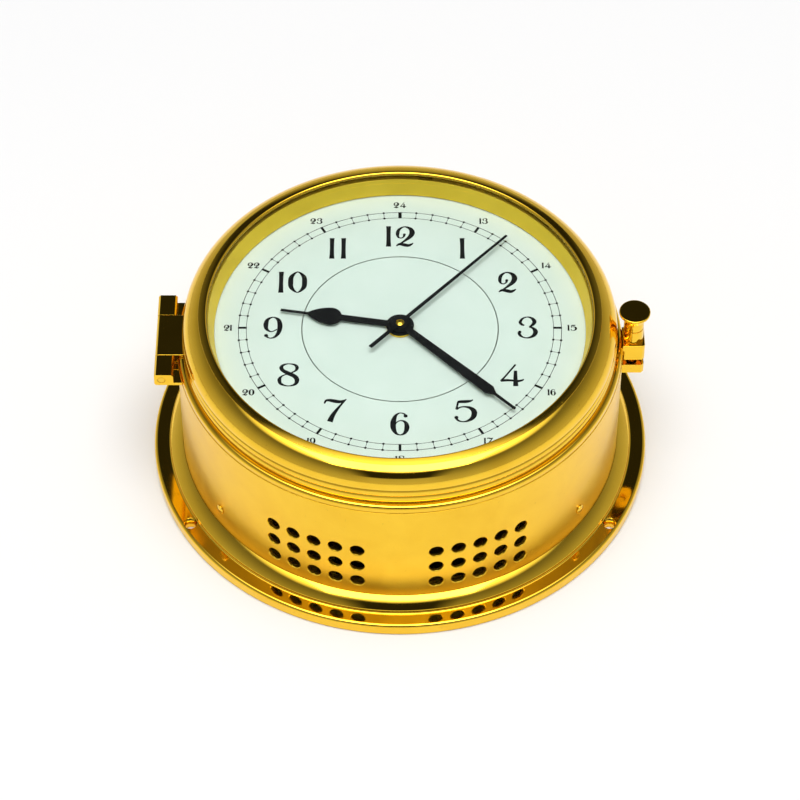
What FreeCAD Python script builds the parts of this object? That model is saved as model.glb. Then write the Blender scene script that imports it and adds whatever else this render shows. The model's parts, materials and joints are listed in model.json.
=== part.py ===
import FreeCAD, Part
import math
import operator
import os
import Sketcher

# A bulkhead deck clock in a polished brass case. The frame has its origin at the centre of the back
# face, +Z out of the dial, +Y to twelve o'clock. The bezel is hinged at nine o'clock (-X) and held
# shut by a captive thumbscrew at three o'clock (+X). Lengths are in millimetres, angles in degrees.
# Pieces that turn are drawn about their own axis and then placed on it.

SIZES = [
    # the mounting flange
    ("flange_radius", 105.0, "outside of the flange"),
    ("flange_thickness", 5.0, "flat ring that the mounting screws pass through"),
    ("flange_edge_round", 1.5, "rounding of the outer top edge"),
    ("flange_bore_radius", 72.0, "opening behind the movement"),
    ("mount_circle_radius", 101.2, "circle of the mounting screws"),
    ("mount_count", 3, "mounting screws, the first at twelve o'clock"),
    ("mount_hole_radius", 2.1, "mounting screw hole"),
    ("mount_sink_radius", 2.9, "countersink of a mounting hole at the surface"),
    ("mount_sink_depth", 1.4, "countersink depth"),
    ("step_radius", 98.0, "raised step round the foot of the drum"),
    ("step_height", 10.0, "height of the step at the drum"),
    ("step_edge_radius", 97.75, "outer end of the step's swelling top"),
    ("step_edge_height", 6.6, "height there"),
    ("step_side_height", 6.0, "top of the step's upright side"),
    ("step_round", 0.85, "rounding between the two"),
    ("step_swell", 15.5, "radius of the swelling top"),
    ("step_foot_round", 0.7, "hollow at the foot of the step"),
    # the drum and what holds it
    ("drum_radius", 92.5, "outside of the drum"),
    ("drum_wall", 1.5, "drum sheet"),
    ("drum_seat", 8.0, "height of the rebate that the drum stands in"),
    ("drum_top", 62.0, "top edge of the drum"),
    ("slip_clearance", 0.1, "radial clearance of parts that slip together"),
    ("spigot_wall", 2.5, "ring inside the foot of the drum"),
    ("spigot_top", 14.0, "height of the ring between the tabs"),
    ("tab_top", 27.0, "height of the four screw tabs"),
    ("tab_span", 9.0, "angle that a tab covers"),
    ("drum_screw_angle", 53.2, "drum screws, from six and from twelve o'clock"),
    ("drum_screw_height", 20.5, "height of the drum screws"),
    ("drum_screw_radius", 1.5, "shank"),
    ("drum_screw_head_radius", 2.1, "head"),
    ("drum_screw_head_height", 1.2, "head"),
    ("leaf_screw_angle", 10.0, "screws of the hinge leaf, from nine o'clock"),
    ("leaf_screw_height", 56.7, "screws of the hinge leaf"),
    ("leaf_screw_length", 3.2, "shank, from inside the drum"),
    ("lug_screw_angle", 2.5, "screws of the latch lug, from three o'clock"),
    ("lug_screw_length", 7.0, "shank, from inside the drum"),
    ("inner_screw_radius", 0.8, "shank of the screws from inside the drum"),
    ("inner_screw_head_radius", 1.5, "their heads"),
    ("slot_width", 0.6, "screwdriver slots"),
    ("slot_depth", 0.5, "screwdriver slots"),
    ("thread_clearance", 0.05, "radial gap between a shank and its tapped hole"),
    ("vent_radius", 3.0, "sound hole"),
    ("vent_rows", 3, "rows of sound holes"),
    ("vent_row_step", 9.6, "height between rows"),
    ("vent_top_height", 36.8, "height of the top row"),
    ("vent_columns", 5, "columns in each group"),
    ("vent_column_step", 5.74, "angle between columns"),
    ("vent_left_angle", 10.8, "first column of the left group, from six o'clock"),
    ("vent_right_angle", 9.15, "first column of the right group, from six o'clock"),
    # the rear cover
    ("cover_radius", 80.0, "rear cover"),
    ("cover_thickness", 1.0, "rear cover sheet"),
    ("cover_setback", 0.3, "cover below the back face"),
    ("cover_screw_circle", 76.0, "circle of the cover screws"),
    ("cover_screw_count", 6, "cover screws"),
    ("cover_screw_radius", 1.5, "shank"),
    ("cover_screw_head_radius", 2.5, "countersunk head"),
    ("cover_screw_length", 4.2, "whole screw"),
    # rings that carry the dial
    ("rim_ring_depth", 3.5, "ring inside the top of the drum"),
    ("rim_ring_bore", 80.3, "its opening"),
    ("dial_ring_wall", 1.2, "dial ring"),
    ("dial_ring_shoulder", 82.5, "shoulder that rests on the rim ring"),
    ("dial_ring_shoulder_height", 0.8, "thickness of that shoulder"),
    ("dial_ring_screw_circle", 81.35, "circle of the dial ring's screws"),
    ("dial_ring_screw_head_radius", 0.95, "countersunk head"),
    ("dial_ring_screw_length", 3.0, "whole screw"),
    ("dial_ledge_radius", 75.0, "inner edge of the ledge under the dial"),
    ("dial_ledge_thickness", 1.2, "ledge under the dial"),
    ("dial_top", 70.75, "printed face of the dial"),
    ("dial_thickness", 0.8, "dial plate"),
    ("dial_hole_radius", 4.1, "centre hole of the dial"),
    ("dial_screw_circle", 78.85, "circle of the dial screws"),
    ("dial_screw_count", 4, "dial screws"),
    ("dial_screw_radius", 0.7, "shank"),
    ("dial_screw_head_radius", 1.05, "countersunk head"),
    ("dial_screw_length", 1.8, "whole screw"),
    # the bezel
    ("bezel_gap", 0.2, "between the closed bezel and the drum"),
    ("bezel_bore_radius", 83.8, "bore round the dial ring"),
    ("bezel_base_radius", 92.3, "base moulding"),
    ("bezel_base_height", 3.1, "base moulding"),
    ("bezel_base_round", 1.7, "rounding of the base moulding"),
    ("bezel_neck_radius", 89.3, "bottom of the grooves between mouldings"),
    ("bezel_line", 0.5, "width of those grooves"),
    ("bead_height", 3.4, "each of the two beads"),
    ("bead_swell", 0.7, "how far a bead stands out"),
    ("shoulder_radius", 89.7, "widest part of the top moulding"),
    ("shoulder_foot", 73.4, "height where the shoulder starts to curve in"),
    ("shoulder_round", 6.7, "radius of its lower curve"),
    ("shoulder_middle_radius", 88.8, "where the lower curve meets the upper"),
    ("shoulder_middle", 76.75, "height there"),
    ("shoulder_swell", 9.55, "radius of its upper curve"),
    ("shoulder_drop", 0.5, "upper end of the shoulder, below the lip"),
    ("bezel_top", 81.7, "lip of the bezel"),
    ("lip_outer_radius", 83.0, "small step between the lip and the shoulder"),
    ("lip_fall", 0.35, "fall of the lip from its inner edge to the step"),
    ("lip_round", 0.9, "rounding of the lip"),
    ("sight_radius", 79.4, "edge of the visible opening"),
    ("lip_underside", 80.6, "height of the seat above the glass"),
    ("glass_seat_radius", 82.0, "bore for the glass"),
    ("glass_thickness", 1.8, "window glass"),
    ("glass_gap", 0.2, "radial room round the glass"),
    ("gasket_thickness", 0.4, "gasket between lip and glass"),
    ("gasket_inner_radius", 79.7, "gasket opening"),
    ("retainer_height", 7.2, "ring that holds the glass"),
    ("retainer_top_radius", 79.0, "opening of that ring at the glass"),
    ("retainer_foot_radius", 76.7, "opening of that ring at the dial"),
    ("seal_inner_radius", 86.6, "dust seal in the foot of the bezel"),
    ("seal_width", 2.2, "dust seal"),
    ("seal_depth", 1.0, "dust seal"),
    ("seal_inset", 0.05, "seal behind the foot of the bezel"),
    # the hinge
    ("hinge_x", 98.0, "pin, to the left of the centre"),
    ("hinge_z", 63.4, "height of the pin"),
    ("hinge_half", 3.0, "half the knuckle's square section"),
    ("hinge_chamfer", 0.8, "upper edges of the knuckles"),
    ("hinge_round", 1.2, "lower outer edge of the knuckles"),
    ("hinge_length", 45.0, "three knuckles"),
    ("hinge_middle_length", 22.4, "the bezel's knuckle"),
    ("hinge_side_gap", 0.15, "between neighbouring knuckles"),
    ("hinge_pin_radius", 1.6, "pin"),
    ("hinge_running_fit", 0.05, "radial clearance of the bezel's knuckle on the pin"),
    ("hinge_web_length", 36.0, "the case leaf's web on the drum"),
    ("hinge_web_depth", 6.3, "its height"),
    ("hinge_web_thickness", 0.9, "that web"),
    ("hinge_side_reach", 4.9, "side knuckles, from the pin towards the bezel"),
    # the latch
    ("latch_x", 96.6, "thumbscrew axis, to the right of the centre"),
    ("lug_end_x", 101.4, "outer face of both lugs"),
    ("lug_half_width", 5.5, "half the lugs' width"),
    ("lug_corner", 1.0, "chamfer of the lugs' outer corners"),
    ("bezel_lug_bottom", 57.0, "underside of the bezel's lug"),
    ("lug_drum_clearance", 0.5, "bezel's lug in front of the drum"),
    ("case_lug_top", 53.9, "case lug"),
    ("case_lug_height", 4.8, "case lug"),
    ("stud_radius", 1.5, "plain shank of the thumbscrew"),
    ("stud_tip_radius", 2.05, "threaded tip, at the bottom of its thread"),
    ("stud_tip_top", 53.3, "upper end of the thread"),
    ("stud_tip_length", 2.9, "threaded tip"),
    ("stud_head_top", 76.0, "end of the shank inside the knob"),
    ("lug_thread_radius", 2.5, "tapped hole of the case lug, at the outside of its thread"),
    ("stud_running_fit", 0.06, "radial clearance of the shank"),
    ("lug_counterbore_depth", 6.3, "room for the tip inside the bezel's lug"),
    ("lug_counterbore_play", 0.15, "radial play of the tip there"),
    ("knob_gap", 0.15, "between the knob and the lug"),
    ("knob_foot_radius", 4.3, "knob at its foot"),
    ("knob_body_radius", 4.15, "barrel of the knob"),
    ("knob_groove_height", 6.2, "turned line, above the foot"),
    ("knob_groove_depth", 0.4, "turned line"),
    ("knob_groove_width", 0.5, "turned line"),
    ("knob_flare_height", 9.2, "start of the flare, above the foot"),
    ("knob_head_height", 14.3, "underside of the rim, above the foot"),
    ("knob_head_radius", 6.45, "rim of the head"),
    ("knob_rim_height", 1.1, "rim"),
    ("knob_rim_round", 0.4, "rim edges"),
    ("knob_cone_height", 0.85, "rise of the head's flat cone"),
    ("knob_flare_hollow", 0.8, "hollow of the flare"),
    # the movement's case
    ("movement_half", 28.0, "half the side of the square case"),
    ("movement_depth", 17.0, "case without its boss"),
    ("movement_wall", 1.2, "case walls"),
    ("movement_front_depth", 8.0, "front shell"),
    ("plate_thickness", 0.9, "middle plate"),
    ("plate_gap", 0.15, "middle plate to the walls"),
    ("bay_half_width", 7.4, "half the battery bay"),
    ("boss_radius", 3.9, "threaded boss through the dial"),
    ("boss_height", 3.0, "boss, above the case"),
    ("washer_thickness", 1.05, "rubber washer behind the dial"),
    ("washer_radius", 9.0, "rubber washer"),
    ("nut_radius", 5.6, "nut on the boss"),
    ("nut_height", 1.1, "nut on the boss"),
    ("battery_radius", 7.1, "round cell"),
    ("battery_length", 49.2, "can"),
    ("battery_tip_radius", 2.7, "positive tip"),
    ("battery_tip_length", 1.2, "positive tip"),
    ("contact_thickness", 0.4, "battery contacts"),
    ("contact_half_width", 5.5, "battery contacts"),
    ("contact_half_height", 5.0, "battery contacts"),
    ("spring_radius", 3.2, "foot of the sprung contact"),
    # the pivots
    ("pivot_radius", 0.4, "pivots in the plates"),
    ("pivot_length", 0.8, "pivots in the plates"),
    ("pivot_fit", 0.05, "radial clearance of pivots and pipes"),
    ("spindle_radius", 0.6, "plastic spindles"),
    ("press_gap", 0.01, "radial gap of pressed parts"),
    # the going train
    ("train_module", 0.25, "rotor, intermediate and centre wheels"),
    ("rotor_teeth", 10, "pinion on the rotor"),
    ("intermediate_teeth", 60, "wheel"),
    ("intermediate_pinion_teeth", 12, "pinion"),
    ("seconds_teeth", 60, "wheel"),
    ("seconds_pinion_teeth", 8, "pinion"),
    ("third_teeth", 60, "wheel"),
    ("third_pinion_teeth", 8, "pinion"),
    ("centre_teeth", 64, "wheel"),
    ("wheel_thickness", 0.6, "train wheels"),
    ("intermediate_angle", 180.0, "intermediate arbor, seen from the centre"),
    ("rotor_angle", 120.0, "rotor, seen from the intermediate arbor"),
    ("third_angle", 60.0, "third arbor, seen from the centre"),
    ("intermediate_level", 1.3, "wheel above the floor of the case"),
    ("rotor_pinion_level", 0.9, "pinion above the floor"),
    ("rotor_pinion_height", 1.4, "pinion"),
    ("rotor_magnet_radius", 2.3, "magnet"),
    ("rotor_magnet_height", 1.6, "magnet"),
    ("rotor_magnet_level", 2.8, "magnet above the floor"),
    ("intermediate_pinion_height", 2.0, "pinion"),
    ("seconds_level", 2.8, "wheel above the floor"),
    ("seconds_pinion_height", 1.8, "pinion"),
    ("seconds_arbor_radius", 0.5, "arbor of the second hand"),
    ("third_level", 4.1, "wheel above the floor"),
    ("third_pinion_height", 1.8, "pinion"),
    ("centre_level", 5.6, "wheel above the floor"),
    ("centre_hub_radius", 2.4, "hub of the centre wheel"),
    ("centre_hub_height", 0.4, "hub of the centre wheel"),
    # the motion work
    ("motion_distance", 8.4, "centre to the minute wheel's arbor, and from there to the setting shaft"),
    ("pipe_pinion_teeth", 12, "pinion on the minute pipe"),
    ("minute_teeth", 36, "wheel"),
    ("minute_pinion_teeth", 10, "pinion"),
    ("hour_teeth", 40, "wheel"),
    ("setting_teeth", 12, "pinion"),
    ("minute_angle", -20.0, "minute wheel's arbor, seen from the centre"),
    ("setting_angle", 20.0, "setting shaft, seen from the minute wheel's arbor"),
    ("minute_level", 1.0, "wheel above the middle plate"),
    ("minute_pinion_height", 2.1, "pinion"),
    ("pipe_pinion_level", 0.7, "pinion above the middle plate"),
    ("pipe_pinion_height", 1.6, "pinion"),
    ("hour_level", 2.6, "wheel above the middle plate"),
    ("pipe_seat_radius", 1.05, "seat of the centre wheel on the minute pipe"),
    ("minute_pipe_radius", 1.5, "minute pipe"),
    ("hour_pipe_radius", 2.35, "hour pipe"),
    ("setting_shaft_radius", 1.0, "setting shaft"),
    ("setting_knob_radius", 4.5, "setting knob"),
    ("setting_knob_height", 2.8, "setting knob"),
    ("setting_knob_gap", 0.2, "between knob and case"),
    ("setting_grips", 16, "grooves round the knob"),
    ("setting_grip_radius", 0.45, "each groove"),
    # the stepping motor and the circuit
    ("stator_level", 3.1, "stator above the floor"),
    ("stator_thickness", 0.7, "stator"),
    ("stator_bore", 2.8, "hole round the magnet"),
    ("stator_half_width", 9.2, "half the distance over the legs"),
    ("stator_leg_width", 4.2, "each leg"),
    ("stator_pole_half", 4.8, "half the width round the magnet"),
    ("stator_pole_reach", 4.0, "plate below the magnet's axis"),
    ("stator_length", 14.4, "magnet's axis to the ends of the legs"),
    ("coil_offset", 11.9, "coil above the magnet's axis"),
    ("core_width", 2.2, "coil core"),
    ("core_height", 1.0, "coil core"),
    ("bobbin_bore", 1.25, "bobbin"),
    ("bobbin_tube", 1.6, "bobbin"),
    ("bobbin_flange_radius", 2.5, "bobbin"),
    ("bobbin_flange", 0.8, "bobbin"),
    ("bobbin_length", 9.6, "bobbin"),
    ("winding_radius", 2.3, "copper winding"),
    ("board_level", 1.3, "circuit board above the floor"),
    ("board_thickness", 0.8, "circuit board"),
    ("board_left", 3.0, "circuit board"),
    ("board_length", 23.0, "circuit board"),
    ("board_bottom", 14.5, "circuit board"),
    ("board_width", 11.8, "circuit board"),
    ("chip_radius", 1.8, "timing chip under its resin"),
    ("chip_height", 0.8, "timing chip"),
    ("chip_place", 7.0, "chip from the board's left end"),
    ("crystal_radius", 1.2, "quartz crystal's can"),
    ("crystal_length", 6.5, "quartz crystal's can"),
    ("crystal_place", 13.0, "can from the board's left end"),
    # the hands
    ("hour_hand_level", 1.45, "hour hand above the dial"),
    ("minute_hand_level", 2.25, "minute hand above the dial"),
    ("second_hand_level", 3.05, "second hand above the dial"),
    ("hand_thickness", 0.5, "hour and minute hands"),
    ("second_hand_thickness", 0.3, "second hand"),
    ("hour_hand_hub", 5.8, "hub of the hour hand"),
    ("minute_hand_hub", 4.9, "hub of the minute hand"),
    ("second_hand_hub", 3.6, "hub of the second hand"),
    ("hour_hand_length", 50.2, "centre to tip"),
    ("hour_leaf_start", 24.8, "leaf of the hour hand"),
    ("hour_leaf_widest", 30.0, "leaf of the hour hand"),
    ("hour_leaf_end", 38.8, "leaf of the hour hand"),
    ("hour_leaf_half", 4.6, "half its greatest width"),
    ("hour_stem_half", 1.6, "half the stem's width"),
    ("needle_half", 0.6, "half the width of the needle tips"),
    ("minute_hand_length", 65.8, "centre to tip"),
    ("minute_stem_half", 1.5, "half the width at the hub"),
    ("minute_shoulder", 51.4, "widest place"),
    ("minute_shoulder_half", 2.35, "half the width there"),
    ("minute_needle_start", 54.6, "end of the shoulder"),
    ("second_hand_length", 67.4, "centre to tip"),
    ("second_hand_tail", 18.3, "centre to the end of the tail"),
    ("second_tip_half", 0.55, "half the width at the tip"),
    ("second_tail_half", 0.85, "half the width of the tail"),
    ("second_cap_radius", 1.75, "brass cap over the arbor"),
    ("second_cap_height", 0.55, "brass cap over the arbor"),
    ("hour_hand_turn", 279.8, "hour hand, clockwise from twelve"),
    ("minute_hand_turn", 135.1, "minute hand, clockwise from twelve"),
    ("second_hand_turn", 42.0, "second hand, clockwise from twelve"),
]

# Tooth form, as shares of the module and of the angle from one tooth to the next.
TOOTH_TIP = 0.8
TOOTH_ROOT = 1.1
TIP_SHARE = 0.20
ROOT_SHARE = 0.50

SIX_OCLOCK = -90
TWELVE_OCLOCK = 90
NINE_OCLOCK = 180
FULL_TURN = 360
HALF_TURN = 180
HALF = 0.5

OPERATIONS = {"+": operator.add, "-": operator.sub, "*": operator.mul, "/": operator.truediv}
Vector = FreeCAD.Vector
doc = FreeCAD.newDocument("deck_clock")


class Size:
    """A size of the sheet, or a sum of such sizes: its number, and the formula that binds it."""

    def __init__(self, value, formula):
        self.value = value
        self.formula = formula

    def __add__(self, other):
        return combine(self, "+", other)

    def __radd__(self, other):
        return combine(other, "+", self)

    def __sub__(self, other):
        return combine(self, "-", other)

    def __rsub__(self, other):
        return combine(other, "-", self)

    def __mul__(self, other):
        return combine(self, "*", other)

    def __rmul__(self, other):
        return combine(other, "*", self)

    def __truediv__(self, other):
        return combine(self, "/", other)

    def __rtruediv__(self, other):
        return combine(other, "/", self)

    def __neg__(self):
        return combine(0, "-", self)


def as_size(number):
    return number if isinstance(number, Size) else Size(float(number), repr(number))


def combine(left, sign, right):
    left, right = as_size(left), as_size(right)
    value = OPERATIONS[sign](left.value, right.value)
    return Size(value, f"({left.formula} {sign} {right.formula})")


def cosine(angle):
    angle = as_size(angle)
    return Size(math.cos(math.radians(angle.value)), f"cos({angle.formula})")


def sine(angle):
    angle = as_size(angle)
    return Size(math.sin(math.radians(angle.value)), f"sin({angle.formula})")


def swell_radius(chord, swell):
    """Radius of the arc that stands out by swell over a chord."""
    return (chord * chord / 4 + swell * swell) / (2 * swell)


def make_sheet():
    """Write the sizes to the spreadsheet and return them by name."""
    sheet = doc.addObject("Spreadsheet::Sheet", "sizes")
    named = {}
    for row, (name, value, meaning) in enumerate(SIZES, start=1):
        sheet.set(f"A{row}", name)
        sheet.set(f"B{row}", str(value))
        sheet.set(f"C{row}", meaning)
        sheet.setAlias(f"B{row}", name)
        named[name] = Size(float(value), f"sizes.{name}")
    doc.recompute()
    return named


class Names:
    """Gives each size of the sheet as an attribute."""

    def __init__(self, named):
        self.__dict__.update(named)


s = Names(make_sheet())


def bind(item, prop, size):
    item.setExpression(prop, as_size(size).formula)


def new_body(name, x=0, y=0, z=0, turn=0):
    """A sub-part. Its own axis is then placed at x, y, z and turned about Z."""
    body = doc.addObject("PartDesign::Body", name)
    body.Label = name
    body.AllowCompound = True
    body.Placement = FreeCAD.Placement(Vector(0, 0, 0), FreeCAD.Rotation(Vector(0, 0, 1), 0))
    for prop, size in zip(("x", "y", "z"), (x, y, z)):
        bind(body, f"Placement.Base.{prop}", size)
    bind(body, "Placement.Rotation.Angle", turn)
    return body


def new_sketch(body, name, role="XY_Plane", base=(0, 0, 0), turn_axis=(0, 0, 1), turn=0):
    """A sketch on one of the body's own planes, shifted by base and turned in the plane's frame."""
    sketch = body.newObject("Sketcher::SketchObject", f"{body.Name}_{name}")
    plane = next(item for item in body.Origin.OriginFeatures if item.Role == role)
    sketch.AttachmentSupport = [(plane, "")]
    sketch.MapMode = "FlatFace"
    sketch.AttachmentOffset = FreeCAD.Placement(Vector(0, 0, 0), FreeCAD.Rotation(Vector(*turn_axis), 0))
    for prop, size in zip(("x", "y", "z"), base):
        bind(sketch, f"AttachmentOffset.Base.{prop}", size)
    bind(sketch, "AttachmentOffset.Rotation.Angle", turn)
    return sketch


def hold(sketch, kind, places, size):
    """Add a constraint and bind its value."""
    size = as_size(size)
    index = sketch.addConstraint(Sketcher.Constraint(kind, *places, size.value))
    bind(sketch, f"Constraints[{index}]", size)


def pin_point(sketch, edge, point, x, y):
    hold(sketch, "DistanceX", (-1, 1, edge, point), x)
    hold(sketch, "DistanceY", (-1, 1, edge, point), y)


def circle(sketch, x, y, radius):
    x, y, radius = as_size(x), as_size(y), as_size(radius)
    edge = sketch.addGeometry(Part.Circle(Vector(x.value, y.value, 0), Vector(0, 0, 1), radius.value))
    pin_point(sketch, edge, 3, x, y)
    hold(sketch, "Radius", (edge,), radius)


def arc_edge(start, end, radius):
    """The short arc between two points, about a centre on the left for a positive radius."""
    middle = (start + end) * HALF
    along = end - start
    side = Vector(-along.y, along.x, 0).normalize()
    rise = math.sqrt(radius * radius - along.Length * along.Length / 4)
    centre = middle + side * math.copysign(rise, radius)
    first, last = (start, end) if radius > 0 else (end, start)
    angles = [math.atan2(point.y - centre.y, point.x - centre.x) for point in (first, last)]
    return Part.ArcOfCircle(Part.Circle(centre, Vector(0, 0, 1), abs(radius)), *angles)


def outline(sketch, corners):
    """Close a loop through the corners, counter-clockwise. A corner is (x, y), or (x, y, radius)
    where the side that ends there is an arc: convex if the radius is positive, else hollow."""
    count = len(corners)
    points = [Vector(as_size(corner[0]).value, as_size(corner[1]).value, 0) for corner in corners]
    edges = []
    for index in range(count):
        following = (index + 1) % count
        arc = corners[following][2:]
        if arc:
            radius = as_size(arc[0])
            shape = arc_edge(points[index], points[following], radius.value)
            ends = (1, 2) if radius.value > 0 else (2, 1)
        else:
            shape = Part.LineSegment(points[index], points[following])
            ends = (1, 2)
        edges.append((sketch.addGeometry(shape), ends, arc))
    for index, (edge, ends, arc) in enumerate(edges):
        next_edge, next_ends, _ = edges[(index + 1) % count]
        sketch.addConstraint(Sketcher.Constraint("Coincident", edge, ends[1], next_edge, next_ends[0]))
        pin_point(sketch, edge, ends[0], corners[index][0], corners[index][1])
        if arc:
            radius = as_size(arc[0])
            hold(sketch, "Radius", (edge,), radius if radius.value > 0 else -radius)


def box_outline(sketch, left, bottom, right, top):
    outline(sketch, [(left, bottom), (right, bottom), (right, top), (left, top)])


def pad(sketch, length, both_ways=False):
    body = sketch.getParentGeoFeatureGroup()
    feature = body.newObject("PartDesign::Pad", f"{sketch.Name}_pad")
    feature.Profile = sketch
    feature.Midplane = both_ways
    bind(feature, "Length", length)
    return feature


def checked_cut(body, feature, before):
    """A cut must take something away."""
    doc.recompute()
    if not body.Shape.Volume < before:
        raise RuntimeError(f"{feature.Name} removes nothing")
    return feature


def pocket(sketch, depth=None, forward=False, both_ways=False):
    """Cut against the sketch's normal, or along it with forward; right through without a depth."""
    body = sketch.getParentGeoFeatureGroup()
    doc.recompute()
    before = body.Shape.Volume
    feature = body.newObject("PartDesign::Pocket", f"{sketch.Name}_pocket")
    feature.Profile = sketch
    feature.Reversed = forward
    feature.Midplane = both_ways
    if depth is None:
        feature.Type = "ThroughAll"
    else:
        bind(feature, "Length", depth)
    return checked_cut(body, feature, before)


def revolve(sketch, axis="V_Axis", angle=FULL_TURN, both_ways=False):
    body = sketch.getParentGeoFeatureGroup()
    feature = body.newObject("PartDesign::Revolution", f"{sketch.Name}_turned")
    feature.Profile = sketch
    feature.ReferenceAxis = (sketch, [axis])
    feature.Midplane = both_ways
    bind(feature, "Angle", angle)
    return feature


def groove(sketch, axis="V_Axis"):
    body = sketch.getParentGeoFeatureGroup()
    doc.recompute()
    before = body.Shape.Volume
    feature = body.newObject("PartDesign::Groove", f"{sketch.Name}_groove")
    feature.Profile = sketch
    feature.ReferenceAxis = (sketch, [axis])
    feature.Angle = FULL_TURN
    return checked_cut(body, feature, before)


def repeat(features, sketch, count, angle=FULL_TURN, axis="N_Axis", backwards=False):
    """Repeat features about one of a sketch's axes."""
    body = sketch.getParentGeoFeatureGroup()
    pattern = body.newObject("PartDesign::PolarPattern", f"{sketch.Name}_repeat")
    pattern.Originals = features
    pattern.Axis = (sketch, [axis])
    pattern.Reversed = backwards
    bind(pattern, "Angle", angle)
    bind(pattern, "Occurrences", count)
    body.Tip = pattern
    return pattern


def turned(body, corners, name="profile", base=(0, 0, 0)):
    """A solid of revolution about Z: corners are (radius, height)."""
    sketch = new_sketch(body, name, "XZ_Plane", base)
    outline(sketch, corners)
    return revolve(sketch)


def ring(body, inner, outer, bottom, top, name="profile"):
    return turned(body, [(inner, bottom), (outer, bottom), (outer, top), (inner, top)], name)


def disc(body, radius, bottom, height, name="disc"):
    sketch = new_sketch(body, name, base=(0, 0, bottom))
    circle(sketch, 0, 0, radius)
    return pad(sketch, height)


def drill(body, x, y, radius, top, depth, name="hole"):
    """A round hole down from a height."""
    sketch = new_sketch(body, name, base=(0, 0, top))
    circle(sketch, x, y, radius)
    return pocket(sketch, depth)


def wall_sketch(body, name, angle, distance=0, height=0):
    """A sketch square to the direction at an angle about Z: x runs round the wall, y runs up."""
    base = (distance * sine(angle), height, distance * cosine(angle))
    return new_sketch(body, name, "YZ_Plane", base, turn_axis=(0, 1, 0), turn=angle)


def radial_sketch(body, name, angle, height=0):
    """A sketch in the plane of Z and the direction at an angle: x runs outwards, y runs up."""
    return new_sketch(body, name, "XZ_Plane", (0, height, 0), turn_axis=(0, 1, 0), turn=angle)


def drill_wall(body, name, angles, height, radius, reach=None):
    """Round holes outwards from the axis at these angles, right through or as far as reach."""
    for number, angle in enumerate(angles):
        hole = wall_sketch(body, f"{name}{number}", angle, 0, height)
        circle(hole, 0, 0, radius)
        pocket(hole, reach, forward=True)


def toothed(body, name, teeth, module, bottom, face, tooth_at=0):
    """A toothed disc with a tooth in the direction tooth_at."""
    tip = module * (teeth * HALF + TOOTH_TIP)
    root = module * (teeth * HALF - TOOTH_ROOT)
    half_pitch = HALF_TURN / teeth
    beyond = tip + module
    widening = (beyond - root) / (tip - root)
    root_half = root * sine((1 - ROOT_SHARE) * half_pitch)
    tip_half = tip * sine((1 - TIP_SHARE) * half_pitch)
    beyond_half = root_half + (tip_half - root_half) * widening
    disc(body, tip, bottom, face, f"{name}_blank")
    space = new_sketch(body, f"{name}_space", base=(0, 0, bottom), turn=tooth_at + half_pitch)
    outline(space, [(root, -root_half), (beyond, -beyond_half), (beyond, beyond_half), (root, root_half)])
    cut = pocket(space, face, forward=True)
    repeat([cut], space, teeth)


# Heights and radii that several pieces share.
drum_inner = s.drum_radius - s.drum_wall
spigot_radius = drum_inner - s.slip_clearance
spigot_inner = spigot_radius - s.spigot_wall
cover_back = s.cover_setback
cover_front = s.cover_setback + s.cover_thickness
dial_back = s.dial_top - s.dial_thickness
dial_ring_radius = s.rim_ring_bore - s.slip_clearance
rim_ring_bottom = s.drum_top - s.rim_ring_depth
bezel_bottom = s.drum_top + s.bezel_gap
base_top = bezel_bottom + s.bezel_base_height
glass_top = s.lip_underside - s.gasket_thickness
glass_bottom = glass_top - s.glass_thickness
retainer_bottom = glass_bottom - s.retainer_height
glass_radius = s.glass_seat_radius - s.glass_gap
hinge_left = -s.hinge_x
case_lug_bottom = s.case_lug_top - s.case_lug_height
stud_tip_bottom = s.stud_tip_top - s.stud_tip_length
knob_foot = base_top + s.knob_gap
movement_front = dial_back - s.washer_thickness
movement_back = movement_front - s.movement_depth
movement_split = movement_front - s.movement_front_depth
movement_floor = movement_back + s.movement_wall
movement_roof = movement_front - s.movement_wall
cavity_half = s.movement_half - s.movement_wall
plate_bottom = movement_split - s.plate_thickness
bay_bottom = -cavity_half
bay_top = bay_bottom + 2 * s.bay_half_width
bay_middle = bay_bottom + s.bay_half_width
train_bottom = bay_top + s.movement_wall
train_distance = (s.centre_teeth + s.third_pinion_teeth) * HALF * s.train_module
seconds_module = 2 * train_distance / (s.seconds_pinion_teeth + s.third_teeth)
intermediate_distance = (s.intermediate_pinion_teeth + s.seconds_teeth) * HALF * s.train_module
rotor_distance = (s.rotor_teeth + s.intermediate_teeth) * HALF * s.train_module
minute_module = 2 * s.motion_distance / (s.pipe_pinion_teeth + s.minute_teeth)
hour_module = 2 * s.motion_distance / (s.minute_pinion_teeth + s.hour_teeth)
intermediate_x = intermediate_distance * cosine(s.intermediate_angle)
intermediate_y = intermediate_distance * sine(s.intermediate_angle)
rotor_x = intermediate_x + rotor_distance * cosine(s.rotor_angle)
rotor_y = intermediate_y + rotor_distance * sine(s.rotor_angle)
third_x = train_distance * cosine(s.third_angle)
third_y = train_distance * sine(s.third_angle)
minute_x = s.motion_distance * cosine(s.minute_angle)
minute_y = s.motion_distance * sine(s.minute_angle)
setting_x = minute_x + s.motion_distance * cosine(s.setting_angle)
setting_y = minute_y + s.motion_distance * sine(s.setting_angle)
hour_pipe_bore = s.minute_pipe_radius + s.pivot_fit
boss_bore = s.hour_pipe_radius + s.pivot_fit
arbor_bore = s.seconds_arbor_radius + s.pivot_fit
pivot_hole = s.pivot_radius + s.pivot_fit
hour_hand_bottom = s.dial_top + s.hour_hand_level
minute_hand_bottom = s.dial_top + s.minute_hand_level
second_hand_bottom = s.dial_top + s.second_hand_level
second_hand_top = second_hand_bottom + s.second_hand_thickness
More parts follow.
